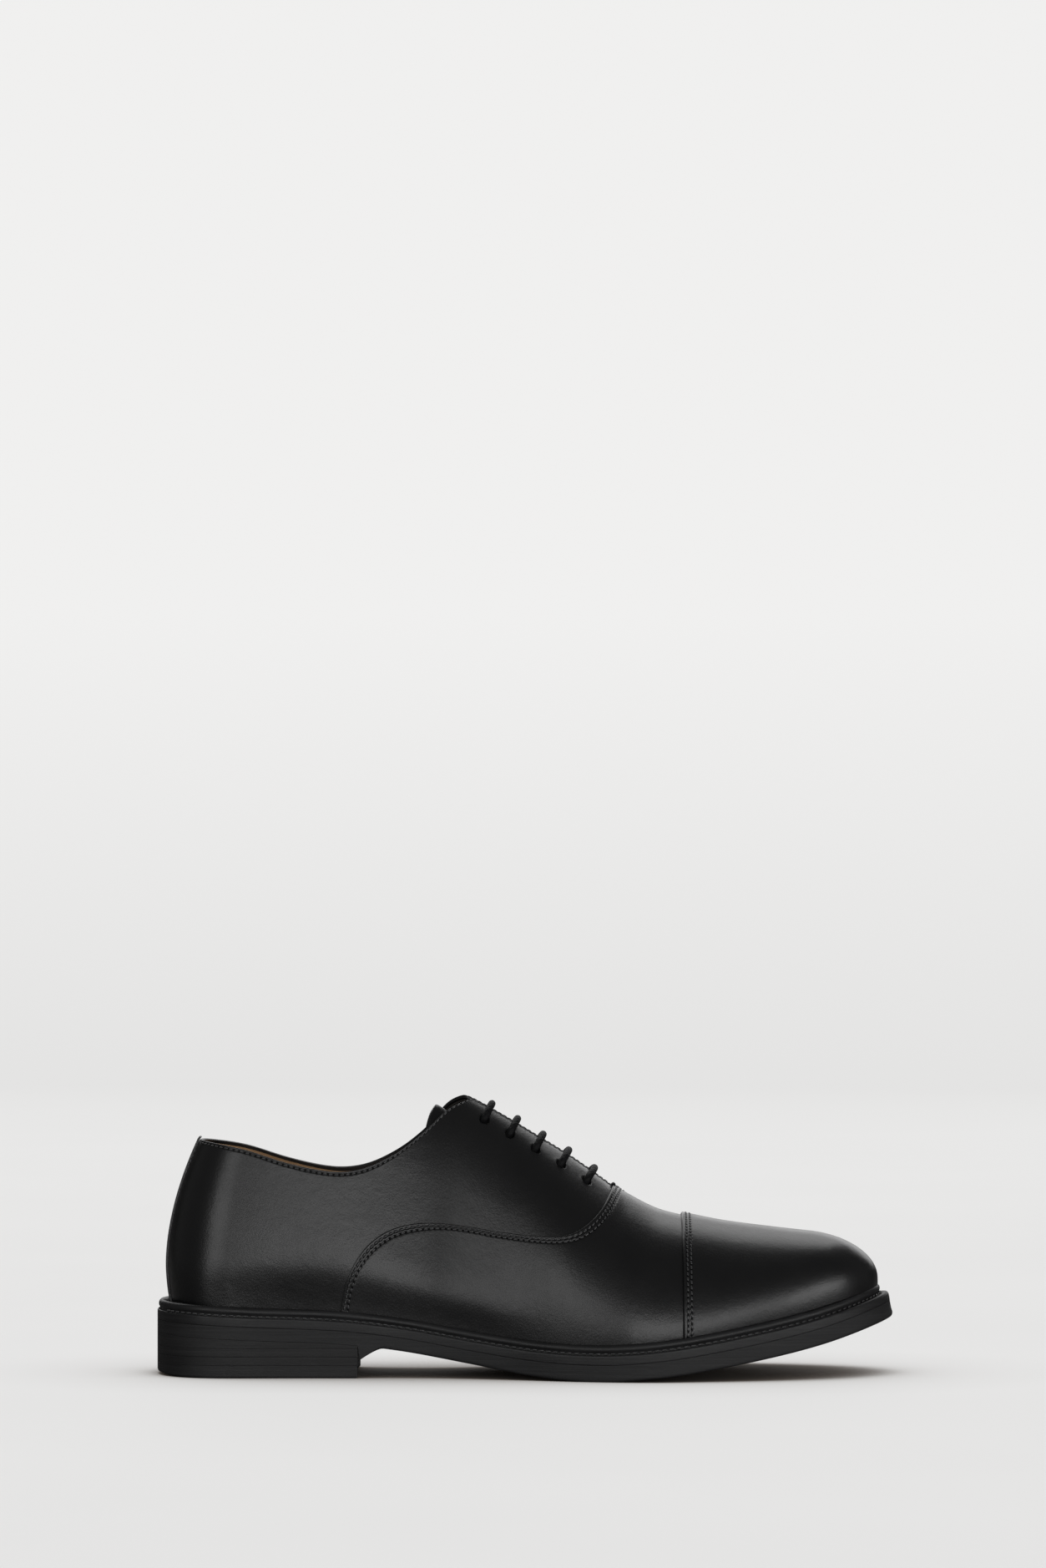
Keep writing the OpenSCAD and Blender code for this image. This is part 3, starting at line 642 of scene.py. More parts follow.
def calf_leather():
    """Polished black calf: fine grain, soft sheen, faint cloudiness, and no shine in the needle holes."""
    m = Nodes("calf_black")
    cloud = m.noise(22, 3)
    fine = m.noise(260, 4, 0.6)
    grain = m.cells(1500, "SMOOTH_F1")
    pores = m.noise(2600, 2)
    colour = m.colours(cloud, (0.3, (0.0048, 0.0048, 0.0052)), (0.7, (0.0088, 0.0088, 0.0092)))
    rough = m.spread(m.maths("ADD", m.maths("MULTIPLY", cloud, 0.6), m.maths("MULTIPLY", fine, 0.4)),
                     0.3, 0.7, 0.29, 0.37)
    seam = m.add("ShaderNodeAttribute", attribute_name="seam").outputs["Fac"]
    clear = m.spread(seam, 0.1, 0.9, 1.0, 0.0)
    low = m.bump(m.noise(90, 3), 0.00025, 0.5, m.bump(m.noise(380, 2), 0.00006, 0.6))
    skin_bump = m.bump(grain, 0.00010, 0.35, low)
    fine_bump = m.bump(pores, 0.00005, 0.3, skin_bump)
    return m.set(colour=colour, roughness=rough, specular=m.maths("MULTIPLY", clear, 0.5),
                 coat=m.maths("MULTIPLY", clear, 0.22), coat_roughness=0.3, normal=fine_bump, coat_normal=low)


def lining_leather():
    """Tan lining; towards the facings its colour turns nearly black, painted shade for the shadowed inside of
    the facings.
    """
    m = Nodes("lining_tan")
    cloud = m.noise(35, 4)
    grain = m.cells(900, "SMOOTH_F1")
    tan = m.colours(cloud, (0.25, (0.30, 0.165, 0.075)), (0.75, (0.44, 0.27, 0.14)))
    # Painted shade: nearly black lining where it backs the facings, which lie in shadow.
    black = m.colours(cloud, (0.25, (0.014, 0.012, 0.010)), (0.75, (0.024, 0.020, 0.017)))
    place = m.add("ShaderNodeSeparateXYZ")
    m.link(m.where, place.inputs[0])
    # The painted shade takes over between 96 and 104 mm from the heel and holds to the toe.
    facing = to_frame([[96.0, 0, 0], [104.0, 0, 0]])[:, 0]
    colour = m.blended(m.spread(place.outputs["X"], *facing), tan, black)
    return m.set(colour=colour, roughness=0.62, specular=0.35, normal=m.bump(grain, 0.00012, 0.5))


def sole_material(name, dark, light, streak=1.0, rough_from=0.5):
    """Edge-inked sole: horizontal streaks left by trimming, worn a little lighter in places."""
    m = Nodes(name)
    lines = m.noise(1.0, 5, 0.7, m.stretched((18, 18, 1500)))
    patches = m.noise(40, 3)
    value = m.maths("ADD", m.maths("MULTIPLY", lines, 0.65), m.maths("MULTIPLY", patches, 0.35))
    colour = m.colours(value, (0.36, dark), (0.66, light))
    rough = m.spread(patches, 0.3, 0.7, rough_from, rough_from + 0.16)
    normal = m.bump(lines, 0.00022 * streak, 0.5, m.bump(m.noise(700, 3), 0.00006, 0.4))
    return m.set(colour=colour, roughness=rough, specular=0.42, normal=normal)


def thread_material(name, colour):
    m = Nodes(name)
    lay = m.noise(1.0, 2, 0.5, m.stretched((900, 900, 900)))
    shade = m.colours(lay, (0.3, tuple(c * 0.6 for c in colour)), (0.7, colour))
    return m.set(colour=shade, roughness=0.34, specular=0.7, normal=m.bump(lay, 0.00008, 0.5))


def cord_material():
    m = Nodes("waxed_cord")
    strands = m.noise(1600, 3)
    colour = m.colours(strands, (0.3, (0.004, 0.004, 0.0045)), (0.7, (0.012, 0.012, 0.013)))
    return m.set(colour=colour, roughness=0.6, specular=0.16, normal=m.bump(strands, 0.0001, 0.6))


def plain(name, dark, light, scale, roughness, bump_mm=0.1, metallic=0.0):
    m = Nodes(name)
    pattern = m.noise(scale, 5, 0.6)
    return m.set(colour=m.colours(pattern, (0.3, dark), (0.7, light)), roughness=roughness, metallic=metallic,
                 normal=m.bump(pattern, bump_mm / 1000, 0.5))


def floor_material():
    """Pale sweep with a glow of its own that only the camera sees; ambient occlusion dims the glow where the
    shoe hems the floor in, a painted soft, warm shadow.
    """
    m = Nodes("studio_floor")
    seen = m.add("ShaderNodeLightPath").outputs["Is Camera Ray"]
    # The floor the camera sees takes little lamp light, so its brightness and its shadow come from the glow;
    # other rays see it paler.
    colour = m.colours(seen, (0.0, (0.14, 0.138, 0.136)), (1.0, (0.05, 0.0497, 0.0492)))
    open_air = m.add("ShaderNodeAmbientOcclusion", samples=12)
    open_air.inputs["Distance"].default_value = 0.09
    # Painted shadow: the glow fades through a warm brown to black as the ambient occlusion closes in under
    # and beside the shoe.
    glow = m.colours(open_air.outputs["AO"], (0.0, (0.0, 0.0, 0.0)), (0.3, (0.06, 0.05, 0.042)),
                     (0.5, (0.21, 0.196, 0.184)), (0.7, (0.56, 0.55, 0.54)), (0.88, (0.69, 0.685, 0.68)),
                     (1.0, (0.735, 0.732, 0.727)))
    height = m.add("ShaderNodeSeparateXYZ")
    m.link(m.where, height.inputs[0])
    rising = m.spread(height.outputs["Z"], 0.0, 0.4, 1.0, 1.125)
    beyond = m.spread(height.outputs["Y"], 0.7, 3.2, 0.0, 0.05)
    strength = m.maths("MULTIPLY", m.maths("ADD", rising, beyond), seen)
    rough = m.spread(m.noise(3, 2), 0.3, 0.7, 0.75, 0.85)
    return m.set(colour=colour, roughness=rough, specular=0.1, glow=glow, glow_strength=strength)


MATERIALS = {
    "calf_black": calf_leather(),
    "lining_tan": lining_leather(),
    "insole_leather": plain("insole_leather", (0.40, 0.26, 0.15), (0.56, 0.39, 0.24), 60, 0.7),
    "stiffener": plain("stiffener", (0.5, 0.45, 0.36), (0.66, 0.61, 0.5), 1200, 0.85),
    "eyelet_metal": plain("eyelet_metal", (0.012, 0.012, 0.012), (0.03, 0.03, 0.03), 300, 0.35, 0.02, 0.6),
    "waxed_cord": cord_material(),
    "lace_tip": plain("lace_tip", (0.008, 0.008, 0.009), (0.016, 0.016, 0.017), 200, 0.22, 0.02),
    # Black thread, its colour lifted to dark grey: a painted highlight that makes the stitches read as light
    # dashes.
    "thread": thread_material("thread", (0.075, 0.075, 0.077)),
    "cork": plain("cork", (0.25, 0.13, 0.06), (0.55, 0.34, 0.18), 700, 0.9, 0.4),
    "steel": plain("steel", (0.42, 0.43, 0.45), (0.55, 0.56, 0.58), 400, 0.32, 0.02, 1.0),
    "welt_black": sole_material("welt_black", (0.010, 0.010, 0.0105), (0.026, 0.026, 0.027), 0.5, 0.36),
    "sole_black": sole_material("sole_black", (0.013, 0.013, 0.0135), (0.034, 0.034, 0.035)),
    "heel_stack": sole_material("heel_stack", (0.012, 0.012, 0.0125), (0.034, 0.0335, 0.034), 1.4),
}


def finish_piece(obj, slot, body=None, replaces=(), bends=False):
    """Gives a piece its material and the body it rides on."""
    obj.data.materials.clear()
    obj.data.materials.append(MATERIALS[slot])
    if replaces:
        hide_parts(*replaces)
    if bends:
        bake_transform(obj)
    else:
        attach(obj, body)
    return obj


# ---------------------------------------------------------------- upper
SEAM_ROWS = (1.55, 3.05)
QUARTER_ROW = 1.5


def sew(name, places, distance, rows, depth, body=None):
    """Rows of stitches at set distances from a band's edge, bending where no body is named."""
    lines = [skin_row(offset_line(places, distance, away), depth) for away in rows]
    finish_piece(stitches(name, lines), "thread", body, bends=body is None)


def build_vamp():
    columns = 720
    edge = neck_line(columns)
    s = np.abs(np.linspace(-1, 1, 901))
    side = np.sign(np.linspace(-1, 1, 901))
    reach = 1 - s
    corner = 0.8
    end = at_x(CAP_X + 9)
    f = np.where(reach < corner, mix(at_x(82), end, reach / corner), end)
    turn = np.where(reach < corner, 1.0, 1 - (reach - corner) / (1 - corner))
    base = resample(np.stack([f, turn * side], 1), columns)
    places, distance = band(edge, base, 34)
    x = x_of(places[..., 0])
    base_depth = mix(LAP, BASE, ramp(x, 192, 214))
    vamp = leather_sheet("vamp", places, distance, base_depth, SEAM_ROWS)
    finish_piece(vamp, "calf_black", replaces=["vamp"], bends=True)
    sew("vamp_stitching", places, distance, SEAM_ROWS, LAP + 0.12)


def build_toe_cap():
    start = at_x(CAP_X)
    length = DESIGN_LEN - MARGIN_TOE - CAP_X
    far = 1 - (1 - np.linspace(0, 1, 90)) ** 1.8
    near = EDGE_STEPS / length
    f_rows = np.concatenate([near, near[-1] + (1 - near[-1]) * far[1:]])
    f_rows = start + (1 - start) * f_rows
    f, t = np.meshgrid(f_rows, np.linspace(-1, 1, 401), indexing="ij")
    f, t = f.T, t.T
    distance = (f - start) * SKIN_LEN
    places = np.stack([f, t], -1)
    cap = leather_sheet("toe_cap", places, distance, LAP, SEAM_ROWS)
    finish_piece(cap, "calf_black", FORE, ["toe_cap"])
    sew("toe_cap_stitching", places, distance, SEAM_ROWS, LAP + 0.12, FORE)


EYELETS = 5
EYELET_FIRST_X, EYELET_LAST_X = 134.2, 176.2
EYELET_TURN = 22.7 / SIDE_DEG


def eyelet_place(i, side):
    return at_x(mix(EYELET_FIRST_X, EYELET_LAST_X, i / (EYELETS - 1))), side * EYELET_TURN


def build_quarter(side, word):
    columns = 460
    edge = quarter_top_line(side, columns)
    base = quarter_base_line(side, columns)
    places, distance = band(edge, base, 40)
    p = skin(places[..., 0], places[..., 1])
    dimple = np.zeros(p.shape[:2])
    for i in range(EYELETS):
        centre = skin(*eyelet_place(i, side))
        away = np.linalg.norm(p - centre, axis=-1)
        dimple += 1.1 * (1 - ramp(away, 1.2, 2.1)) - 0.12 * np.exp(-((away - 2.7) / 0.6) ** 2)
    name = "quarter_" + word
    quarter = leather_sheet(name, places, distance, BASE, (QUARTER_ROW,), extra=dimple)
    finish_piece(quarter, "calf_black", replaces=[name], bends=True)
    sew(name + "_stitching", places, distance, (QUARTER_ROW,), BASE + 0.13)
    build_quarter_lining(side, "quarter_lining_" + word, edge)


def build_quarter_lining(side, name, edge):
    """Lining that stops just under the quarter's edge and closes up to it there."""
    f = mix(HEEL_SEAM_F, at_x(QUARTER_FRONT_X), np.linspace(0, 1, 300) ** 1.3)
    base = resample(np.stack([f, np.ones_like(f)], 1), len(edge)) * [1, side]
    places, distance = band(edge + [0, side * 0.006], base, 30)
    f, turn = places[..., 0], places[..., 1]
    pinch = 1.1 * np.exp(-(distance / 5) ** 2)
    outer = skin(f, turn, LINING - pinch + 0.3 * rolled(distance, 0.5))
    inner = skin(f, turn, LINING + LINING_T - pinch - 0.3 * rolled(distance, 0.5))
    finish_piece(sheet(name, outer, inner), "lining_tan", replaces=[name], bends=True)


def build_back_strip():
    half = 26
    i = np.arange(-half, half + 1)
    f = (0.0009 * (np.abs(i) / half) ** 2)[:, None]
    side = np.where(i < 0, -1.0, 1.0)[:, None]
    z = np.linspace(float(rim_z(0.0)) + BEAD_H - 1.5, 97.0, 90)[None, :]
    turn = turn_at(f + 0 * z, z + 0 * f)
    d = np.minimum(1 - np.abs(i) / half, 1)[:, None] * 5.5
    depth = LAP + 0.35 + rolled(d, 0.45) + 0.08 * np.exp(-((d - 1.3) / 0.42) ** 2)
    over = ramp(z, 96.0, 97.0) * 0.4
    outer = skin(f, side * turn, depth + over)
    inner = skin(f, side * turn, LAP + LEATHER_T + over)
    strip = sheet("back_strip", outer, inner)
    finish_piece(strip, "calf_black", BACK, ["back_strip"])


def build_tongue():
    """Padded flap: its top edge droops inwards, and behind that it is hollow where the ankle bends."""
    thick, lining_under, lining_below = 2.3, 2.35, 3.3
    rows = np.linspace(at_x(108.8), at_x(183), 90)
    turn = np.linspace(-1, 1, 81)
    f, t = np.meshgrid(rows, turn, indexing="ij")
    share = (f - rows[0]) / (rows[-1] - rows[0])
    span = mix(46, 36, share) / SIDE_DEG
    lobe = np.sqrt(t ** 2 + 0.03) - math.sqrt(0.03)
    swept = f - 0.021 * lobe * (1 - ramp(share, 0, 0.35))
    d = (f - rows[0]) * SKIN_LEN
    tip = 3.6 * (1 - ramp(d, 0, 4.1))
    hollow = 1.7 * np.exp(-((d - 9.9) / 4) ** 2)
    depth = TONGUE_DEPTH + 0.9 + tip + hollow - ramp(d, 12, 22)
    outer = skin(swept, t * span, depth + rolled(d, 1.3))
    inner = skin(swept, t * span, depth + thick)
    finish_piece(sheet("tongue", outer, inner), "calf_black", TONGUE, ["tongue"])
    under = skin(swept, t * span, depth + lining_under)
    below = skin(swept, t * span, depth + lining_below - 0.4 * rolled(d, 0.6))
    finish_piece(sheet("tongue_lining", under, below), "lining_tan", TONGUE, ["tongue_lining"])


def build_vamp_lining():
    start = at_x(THROAT_X + 3)
    f_rows = start + (1 - start) * np.sin(np.linspace(0, math.pi / 2, 70))
    f, t = np.meshgrid(f_rows, np.linspace(-1, 1, 81), indexing="ij")
    lining = sheet("vamp_lining", skin(f, t, LINING), skin(f, t, LINING + LINING_T))
    finish_piece(lining, "lining_tan", replaces=["vamp_lining"], bends=True)


def lace_path():
    """Straight bars on top, square to the ridge, slanting runs underneath, tails tucked inside."""
    run = LINING + LINING_T + LACE_R + 0.2
    forward = 2.5 / SKIN_LEN

    def on(f, turn, lift):
        return skin(f, turn) + skin_normal(f, turn) * lift

    def tail(i, side, steps):
        f, t = eyelet_place(i, side)
        return [skin(f - 0.004 * k, t + side * 0.05 * k, run) for k in steps]

    path = tail(0, LATERAL, (4, 3, 2, 1))
    for i in range(EYELETS):
        f, t = eyelet_place(i, LATERAL)
        path += [on(f, t, -LINING - 0.6), on(f, t, 0.1)]
        for k in np.linspace(-0.8, 0.8, 9):
            middle = 1 - k * k
            path.append(on(f + forward * middle, -t * k, LACE_R * 0.75 + 0.2 * middle))
        path += [on(f, -t, 0.1), on(f, -t, -LINING - 0.6)]
        if i < EYELETS - 1:
            g = eyelet_place(i + 1, LATERAL)[0]
            path += [skin(mix(f, g, (3 - k) / 6), -t * k / 3.4, run) for k in (3, 1.5, 0, -1.5, -3)]
    return path + tail(EYELETS - 1, MEDIAL, (1, 2, 3, 4))


def build_lace():
    path, along = smooth_path(lace_path(), 0.3)
    lace = tube("lace", path, along, LACE_R, sides=24, braid=0.09, strands=4, twist=2.4)
    finish_piece(lace, "waxed_cord", replaces=["lace"], bends=True)


def build_bar_tack():
    f = at_x(THROAT_X - 0.9)
    turn = np.linspace(-0.05, 0.05, 21)
    p = skin(np.full_like(turn, f), turn, BASE - 0.75)
    path, along = smooth_path(p, 0.2)
    tack = tube("bar_tack", path, along, 0.95, sides=16, braid=0.08, strands=1, twist=7)
    finish_piece(tack, "waxed_cord", replaces=["bar_tack"], bends=True)


# ---------------------------------------------------------------- sole
def rim_places(n):
    """f and side once round the shoe, from the heel along the lateral side and back."""
    f = eased(n)
    return np.concatenate([f, f[-2:0:-1]]), np.concatenate([np.full(n, LATERAL), np.full(n - 2, MEDIAL)])


def toe_lean(f, height):
    """How much further in the sole's edge stands at this height over the rim, at the toe only."""
    return 1.7 * ramp(f, 0.9, 1) * np.clip(1 + height / 11, 0, 1)


def rim_point(f, side, inset, height):
    inset = inset + toe_lean(f, height)
    x = edge_x(f, inset, inset)
    y = curve(CENTRE_LINE, x) + side * edge_w(f, inset, inset)
    return np.stack([x, y, rim_z(x) + height], -1)


def ring(name, profile, n=300):
    """Closed loop of the profile (inset, height) carried round the sole. Each inset and height is a
    function of f."""
    f, side = rim_places(n)
    grid = np.stack([rim_point(f, side, inset(f), height(f)) for inset, height in profile], 1)
    faces = grid_faces(len(f), len(profile), wrap_i=True, wrap_j=True)
    return new_mesh(name, grid.reshape(-1, 3), faces, 50)


def margin(f):
    return mix(MARGIN_HEEL, MARGIN_TOE, f)


def build_welt():
    """Flat strip with a groove for the lock stitches and a rounded bead against the upper."""
    def bead_out(f):
        return margin(f) - 3.4

    def round_toe(f):
        return 1 + 1.8 * ramp(f, 0.88, 1)

    def fixed(inset, height):
        return (lambda f: inset + 0 * f, lambda f: height + 0 * f)

    def bead(inset, height):
        return (lambda f: np.maximum(bead_out(f) + inset, 0.5 + (inset + 1) * 0.05),
                lambda f: height + 0 * f)

    def corner(inset, height):
        return (lambda f: inset * round_toe(f), lambda f: height * round_toe(f))

    profile = [
        fixed(0.25, -WELT_T + 0.03), fixed(0.03, -WELT_T + 0.1), fixed(0.0, -WELT_T + 0.25),
        fixed(0, -WELT_T + 0.5), corner(0, -1.0), corner(0.03, -0.5), corner(0.14, -0.2), corner(0.32, -0.05),
        corner(0.48, 0), bead(-0.95, 0.0), bead(-0.75, -0.15), bead(-0.5, -0.75), bead(-0.15, -0.9),
        bead(0.35, -0.3), bead(0.45, 0.6), bead(0.25, 1.2), bead(0.02, 1.5), bead(-0.08, 2.0), bead(0.0, 2.7),
        bead(0.25, 3.3), bead(0.65, 3.75), bead(1.15, 3.97), bead(1.6, 3.9), bead(2.0, 3.6), bead(2.25, 3.1),
        bead(2.35, 2.0), bead(2.35, -WELT_T + 0.3), bead(2.2, -WELT_T + 0.05),
    ]
    finish_piece(ring("welt", profile), "welt_black", replaces=["welt"], bends=True)
    f, side = rim_places(900)
    keep = edge_x(f, 2, 2) > 6
    lines = []
    for s in (LATERAL, MEDIAL):
        pick = keep & (side == s)
        order = np.argsort(f[pick])
        g = f[pick][order]
        inset = np.maximum(bead_out(g) - 0.15, 0.5)
        points = rim_point(g, s, inset, 0.35)
        lines.append((points, np.tile([0, 0, 1.0], (len(g), 1))))
    stitching = stitches("welt_stitching", lines, pitch=3.0, length=2.1, radius=0.42, slant=14)
    finish_piece(stitching, "thread", replaces=["welt_stitching"], bends=True)


def tread(x):
    """Underside of the outsole, with the fillet that runs down to the heel breast."""
    fillet = 6.0 * np.clip(1 - (x - BREAST_X) / 9.5, 0, 1) ** 1.3 * (x > BREAST_X - 1e-6)
    return rim_z(x) - WELT_T - outsole_t(x) - fillet


def build_outsole():
    n, across = 420, 17
    f = eased(n)
    edge = [
        (0.9, "low", 0.0), (0.45, "low", 0.12), (0.15, "low", 0.4), (0.02, "low", 0.85), (0.0, "low", 1.5),
        (0.0, "mid", 0.0), (0.0, "top", -0.45), (0.0, "top", -0.2), (0.04, "top", -0.06), (0.25, "top", 0.0),
    ]

    def side_points(side):
        out = []
        for inset, level, dz in edge:
            if level == "low":
                crisp = mix(0.12, 1, ramp(edge_x(f, 0, 0), BREAST_X, BREAST_X + 10))
                inset, dz = inset * crisp, dz * crisp
            height = {"low": -11.0, "mid": -7.5, "top": -WELT_T}[level]
            inset = inset + toe_lean(f, height)
            x = edge_x(f, inset, inset)
            y = curve(CENTRE_LINE, x) + side * edge_w(f, inset, inset)
            low, top = tread(x), rim_z(x) - WELT_T
            z = {"low": low, "mid": (low + top) / 2, "top": top}[level] + dz
            out.append(np.stack([x, y, z], -1))
        return out

    left, right = side_points(LATERAL), side_points(MEDIAL)
    t = np.linspace(0, 1, across)[1:-1]
    top = [left[-1] * (1 - s) + right[-1] * s for s in t]
    bottom = [right[0] * (1 - s) + left[0] * s for s in t]
    loop = np.stack(left + top + right[::-1] + bottom, 1)
    faces = grid_faces(n, loop.shape[1], wrap_j=True)
    sole = new_mesh("outsole", loop.reshape(-1, 3), faces, 50)
    finish_piece(sole, "sole_black", replaces=["outsole_rear", "outsole_forepart"], bends=True)


def heel_outline(n=260):
    """Plan of the heel: round the back, then across the hollow breast."""
    f = eased(2 * n)
    x = edge_x(f, 0, 0)
    f = f[x < BREAST_X - 0.6]
    x = edge_x(f, 0, 0)
    middle, w = curve(CENTRE_LINE, x), edge_w(f, 0, 0)
    lateral = np.stack([x, middle - w], 1)
    medial = np.stack([x, middle + w], 1)
    a, b = lateral[-1], medial[-1]
    t = np.linspace(0, 1, 60)[:, None]
    hollow = 3.4 * np.sin(t * math.pi) * [-1, 0]
    breast = a * (1 - t) + b * t + hollow
    back = np.concatenate([medial[::-1], lateral[1:]])
    return np.concatenate([breast[1:-1], back])


def inset_outline(outline, d):
    ahead, behind = np.roll(outline, -1, 0), np.roll(outline, 1, 0)
    t = ahead - behind
    t /= np.maximum(np.linalg.norm(t, axis=1, keepdims=True), 1e-9)
    n = np.stack([-t[:, 1], t[:, 0]], 1)
    centre = outline.mean(0)
    if np.sum((centre - outline) * n) < 0:
        n = -n
    return outline + n * d


def heel_layer(name, low, high, node, soft=0.05, bottom_soft=0.05):
    """One layer of the heel: flat walls with softened edges, closed above and below."""
    outline = heel_outline()
    hold = 0.2
    levels = [
        (bottom_soft + hold, 0.0, low), (bottom_soft * 0.3, bottom_soft * 0.3, low),
        (0, bottom_soft, low), (0, bottom_soft + hold, low),
        (0, -soft - hold, high), (0, -soft, high),
        (soft * 0.3, -soft * 0.3, high), (soft + hold, 0.0, high),
    ]
    rings = []
    for inset, dz, level in levels:
        p = inset_outline(outline, inset)
        rings.append(np.column_stack([p, level(p[:, 0]) + dz]))
    grid = np.stack(rings, 0)
    k, n = grid.shape[:2]
    faces = grid_faces(k, n, wrap_j=True) + [list(range(n))[::-1], list(range((k - 1) * n, k * n))]
    return finish_piece(new_mesh(name, grid.reshape(-1, 3), faces, 50), "heel_stack", BACK, [node])


def build_heel():
    gap, lift = 0.05, 3.4

    def flat(z):
        return lambda x: z + 0 * x

    def worn(x):
        return 1.3 * np.clip(1 - x / 18, 0, 1) ** 2

    def seat(x):
        return np.maximum(rim_z(x) - WELT_T - outsole_t(x) - gap, levels[2] + 0.5)

    levels = [TOP_PIECE_T + gap + k * (lift + gap) for k in range(3)]
    heel_layer("heel_top_piece", worn, flat(TOP_PIECE_T), "heel_top_piece", bottom_soft=0.7)
    heel_layer("heel_lift_lower", flat(levels[0]), flat(levels[0] + lift), "heel_lift_lower")
    heel_layer("heel_lift_middle", flat(levels[1]), flat(levels[1] + lift), "heel_lift_middle")
    heel_layer("heel_lift_upper", flat(levels[2]), seat, "heel_lift_upper")


def build_stiffeners():
    """Cup round the heel and cap over the toes, both hidden between leather and lining."""
    out, thick = 1.9, 0.8
    reach, top, drop = 0.26, 78.0, 34.0
    i = np.linspace(-1, 1, 61)[:, None]
    f = reach * i ** 2
    turn = mix(1, turn_at(f, top - drop * (f / reach) ** 2), np.linspace(0, 1, 25)[None])
    turn = turn * np.where(i < 0, -1, 1)
    cup = sheet("heel_counter", skin(f, turn, out), skin(f, turn, out + thick))
    finish_piece(cup, "stiffener", BACK, ["heel_counter"])
    start = at_x(236)
    f = start + (1 - start) * np.sin(np.linspace(0, math.pi / 2, 50))
    f, t = np.meshgrid(f, np.linspace(-1, 1, 61), indexing="ij")
    puff = sheet("toe_puff", skin(f, t, out), skin(f, t, out + thick))
    finish_piece(puff, "stiffener", FORE, ["toe_puff"])


def build_sock_lining():
    """Sock that covers the insole, its edge turned up a little."""
    clear, lift, thick = 6.4, 2.0, 0.9
    inset_heel, inset_toe = MARGIN_HEEL + clear, MARGIN_TOE + clear
    f, t = np.meshgrid(eased(160), np.linspace(-1, 1, 41), indexing="ij")
    x = edge_x(f, inset_heel, inset_toe)
    y = curve(CENTRE_LINE, x) + t * edge_w(f, inset_heel, inset_toe)
    z = rim_z(x) + lift + 0.35 * np.abs(t) ** 3
    top = np.stack([x, y, z + thick - 0.4 * ramp(np.abs(t), 0.94, 1)], -1)
    under = np.stack([x, y, z], -1)
    lining = sheet("sock_lining", top, under)
    finish_piece(lining, "lining_tan", replaces=["sock_lining"], bends=True)


def carry_over(name, slot, bends=False):
    """A CAD piece whose shape is right: keeps it, or copies it where it has to bend."""
    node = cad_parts[name]
    if not bends:
        node.data.materials.clear()
        node.data.materials.append(MATERIALS[slot])
        return
    piece = bpy.data.objects.new(name + "_bending", node.data.copy())
    bpy.context.scene.collection.objects.link(piece)
    finish_piece(piece, slot, replaces=[name], bends=True)


build_vamp()
build_toe_cap()
build_quarter(LATERAL, "lateral")
build_quarter(MEDIAL, "medial")
build_back_strip()
build_tongue()
build_vamp_lining()
build_lace()
build_bar_tack()
build_welt()
build_outsole()
build_heel()
build_sock_lining()
build_stiffeners()
for name, slot in (("insole", "insole_leather"), ("insole_rib", "stiffener"), ("cork_filler", "cork"),
                   ("facing_stay_lateral", "stiffener"), ("facing_stay_medial", "stiffener"),
                   ("blind_eyelets", "eyelet_metal"), ("lace_tips", "lace_tip")):
    carry_over(name, slot, bends=True)
for name, slot in (("shank", "steel"), ("heel_nails", "steel")):
    carry_over(name, slot)


# ---------------------------------------------------------------- studio
def build_floor():
    """Pale floor that sweeps up into a backdrop."""
    half, back, radius, top = 6.0, 3.2, 1.2, 5.0
    bend = np.linspace(0, math.pi / 2, 24)
    profile = [(-half, 0.0)] + [(back + radius * math.sin(a), radius * (1 - math.cos(a))) for a in bend]
    profile.append((back + radius, top))
    points = [(x, y, z) for y, z in profile for x in (-half, half)]
    faces = [[2 * k, 2 * k + 1, 2 * k + 3, 2 * k + 2] for k in range(len(profile) - 1)]
    mesh = bpy.data.meshes.new("studio_floor")
    mesh.from_pydata(points, [], faces)
    mesh.shade_smooth()
    obj = bpy.data.objects.new("studio_floor", mesh)
    bpy.context.scene.collection.objects.link(obj)
    mesh.materials.append(floor_material())


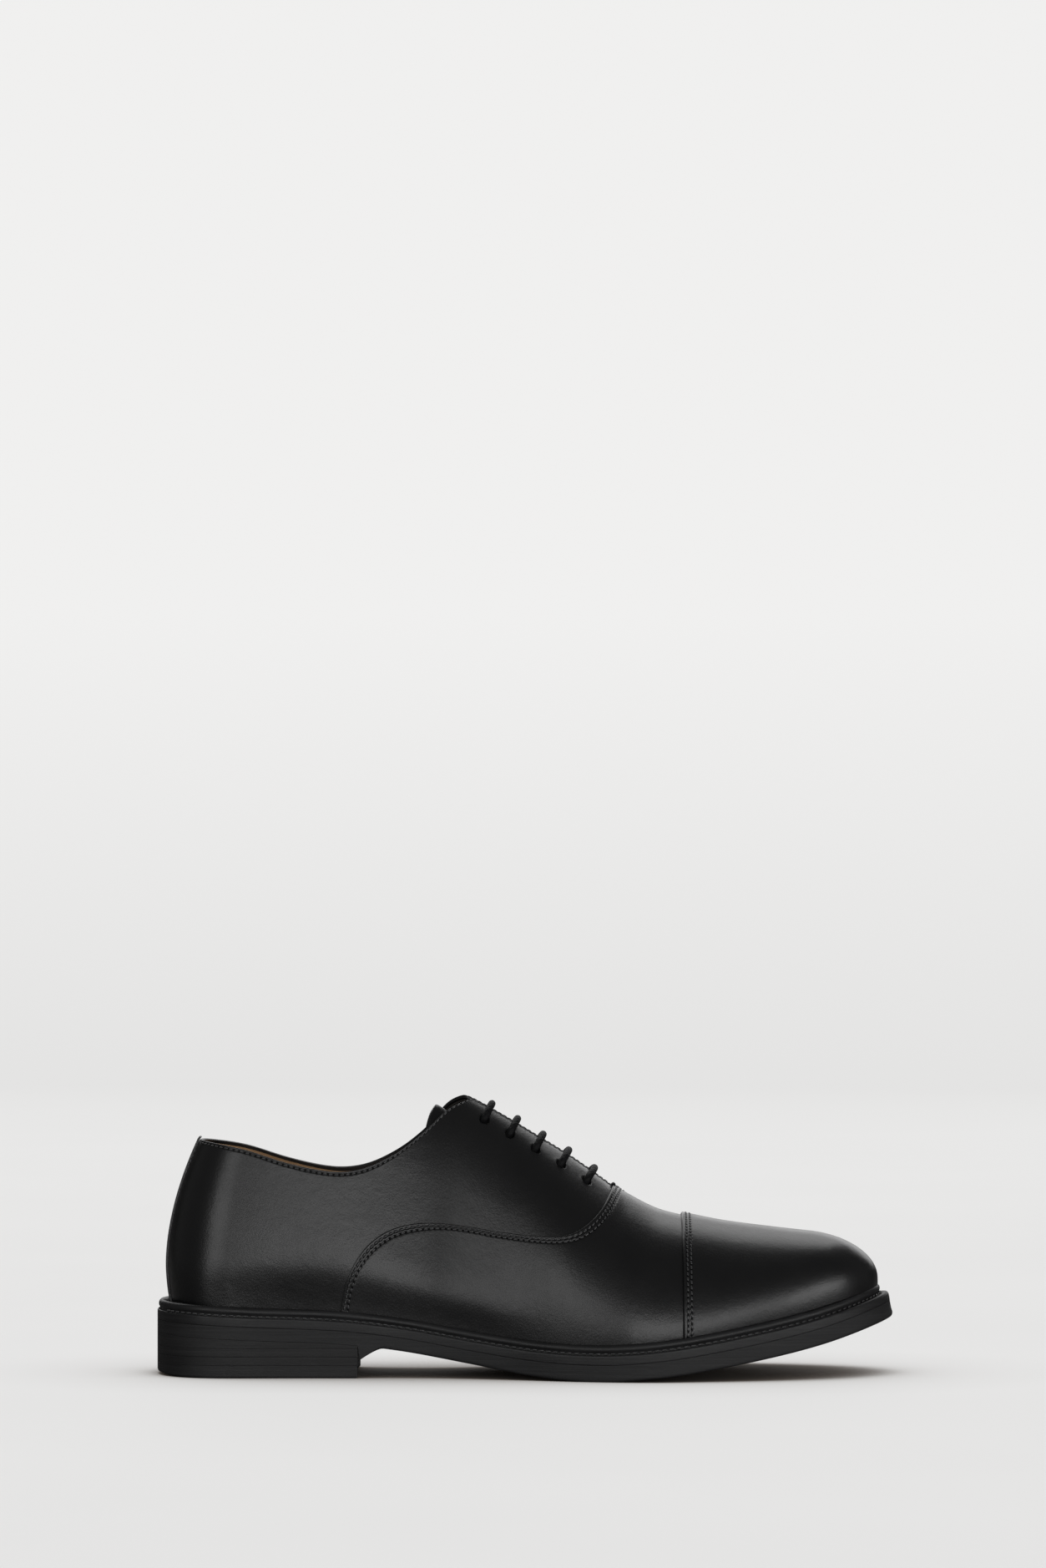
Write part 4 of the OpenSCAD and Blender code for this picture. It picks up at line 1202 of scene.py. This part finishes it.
def area_light(name, place, target, size, power, colour=(1, 1, 1)):
    light = bpy.data.lights.new(name, "AREA")
    light.shape = "RECTANGLE"
    light.size, light.size_y = size
    light.energy = power
    light.color = colour
    obj = bpy.data.objects.new(name, light)
    obj.location = place
    obj.rotation_mode = "QUATERNION"
    obj.visible_camera = False
    obj.rotation_quaternion = (Vector(target) - Vector(place)).to_track_quat("-Z", "Y")
    bpy.context.scene.collection.objects.link(obj)


def build_air():
    """Pale surroundings to look at, and nearly dark ones to reflect, so the softboxes shape the leather."""
    world = bpy.data.worlds.new("studio_air")
    world.use_nodes = True
    tree = world.node_tree
    seen = tree.nodes["Background"]
    seen.inputs["Color"].default_value = (0.80, 0.795, 0.79, 1)
    air = tree.nodes.new("ShaderNodeBackground")
    air.inputs["Strength"].default_value = 0.12
    path = tree.nodes.new("ShaderNodeLightPath")
    both = tree.nodes.new("ShaderNodeMixShader")
    tree.links.new(path.outputs["Is Camera Ray"], both.inputs[0])
    tree.links.new(air.outputs[0], both.inputs[1])
    tree.links.new(seen.outputs[0], both.inputs[2])
    tree.links.new(both.outputs[0], tree.nodes["World Output"].inputs["Surface"])
    bpy.context.scene.world = world


def build_studio():
    build_floor()
    build_air()
    middle = (0.11, 0.0, 0.05)
    area_light("back_softbox", (-0.1, 1.35, 1.6), middle, (2.3, 1.2), 12)
    area_light("front_fill", (0.92, -3.5, 0.58), (0.05, 0.0, 0.06), (2.9, 1.0), 25)
    area_light("vamp_fill", (-1.75, -3.0, 0.9), (0.05, 0.0, 0.06), (1.9, 1.4), 16)
    area_light("rear_fill", (0.3, 2.7, 0.85), middle, (3.0, 1.0), 12)
    area_light("toe_fill", (2.8, -1.6, 0.35), (0.25, 0.0, 0.03), (2.2, 0.9), 20)
    bpy.context.scene.view_settings.view_transform = "Standard"


def build_camera():
    """Level camera a little above the shoe, facing its lateral side."""
    distance, height, lens = 3.15, 0.2417, 176
    camera = bpy.data.cameras.new("camera")
    camera.lens = lens
    camera.sensor_width = 36
    obj = bpy.data.objects.new("camera", camera)
    middle = (sole_low.x + sole_high.x) / 2
    obj.location = (middle - 0.0009, -distance, height)
    obj.rotation_euler = (math.pi / 2, 0, 0)
    bpy.context.scene.collection.objects.link(obj)
    bpy.context.scene.camera = obj


build_studio()
build_camera()
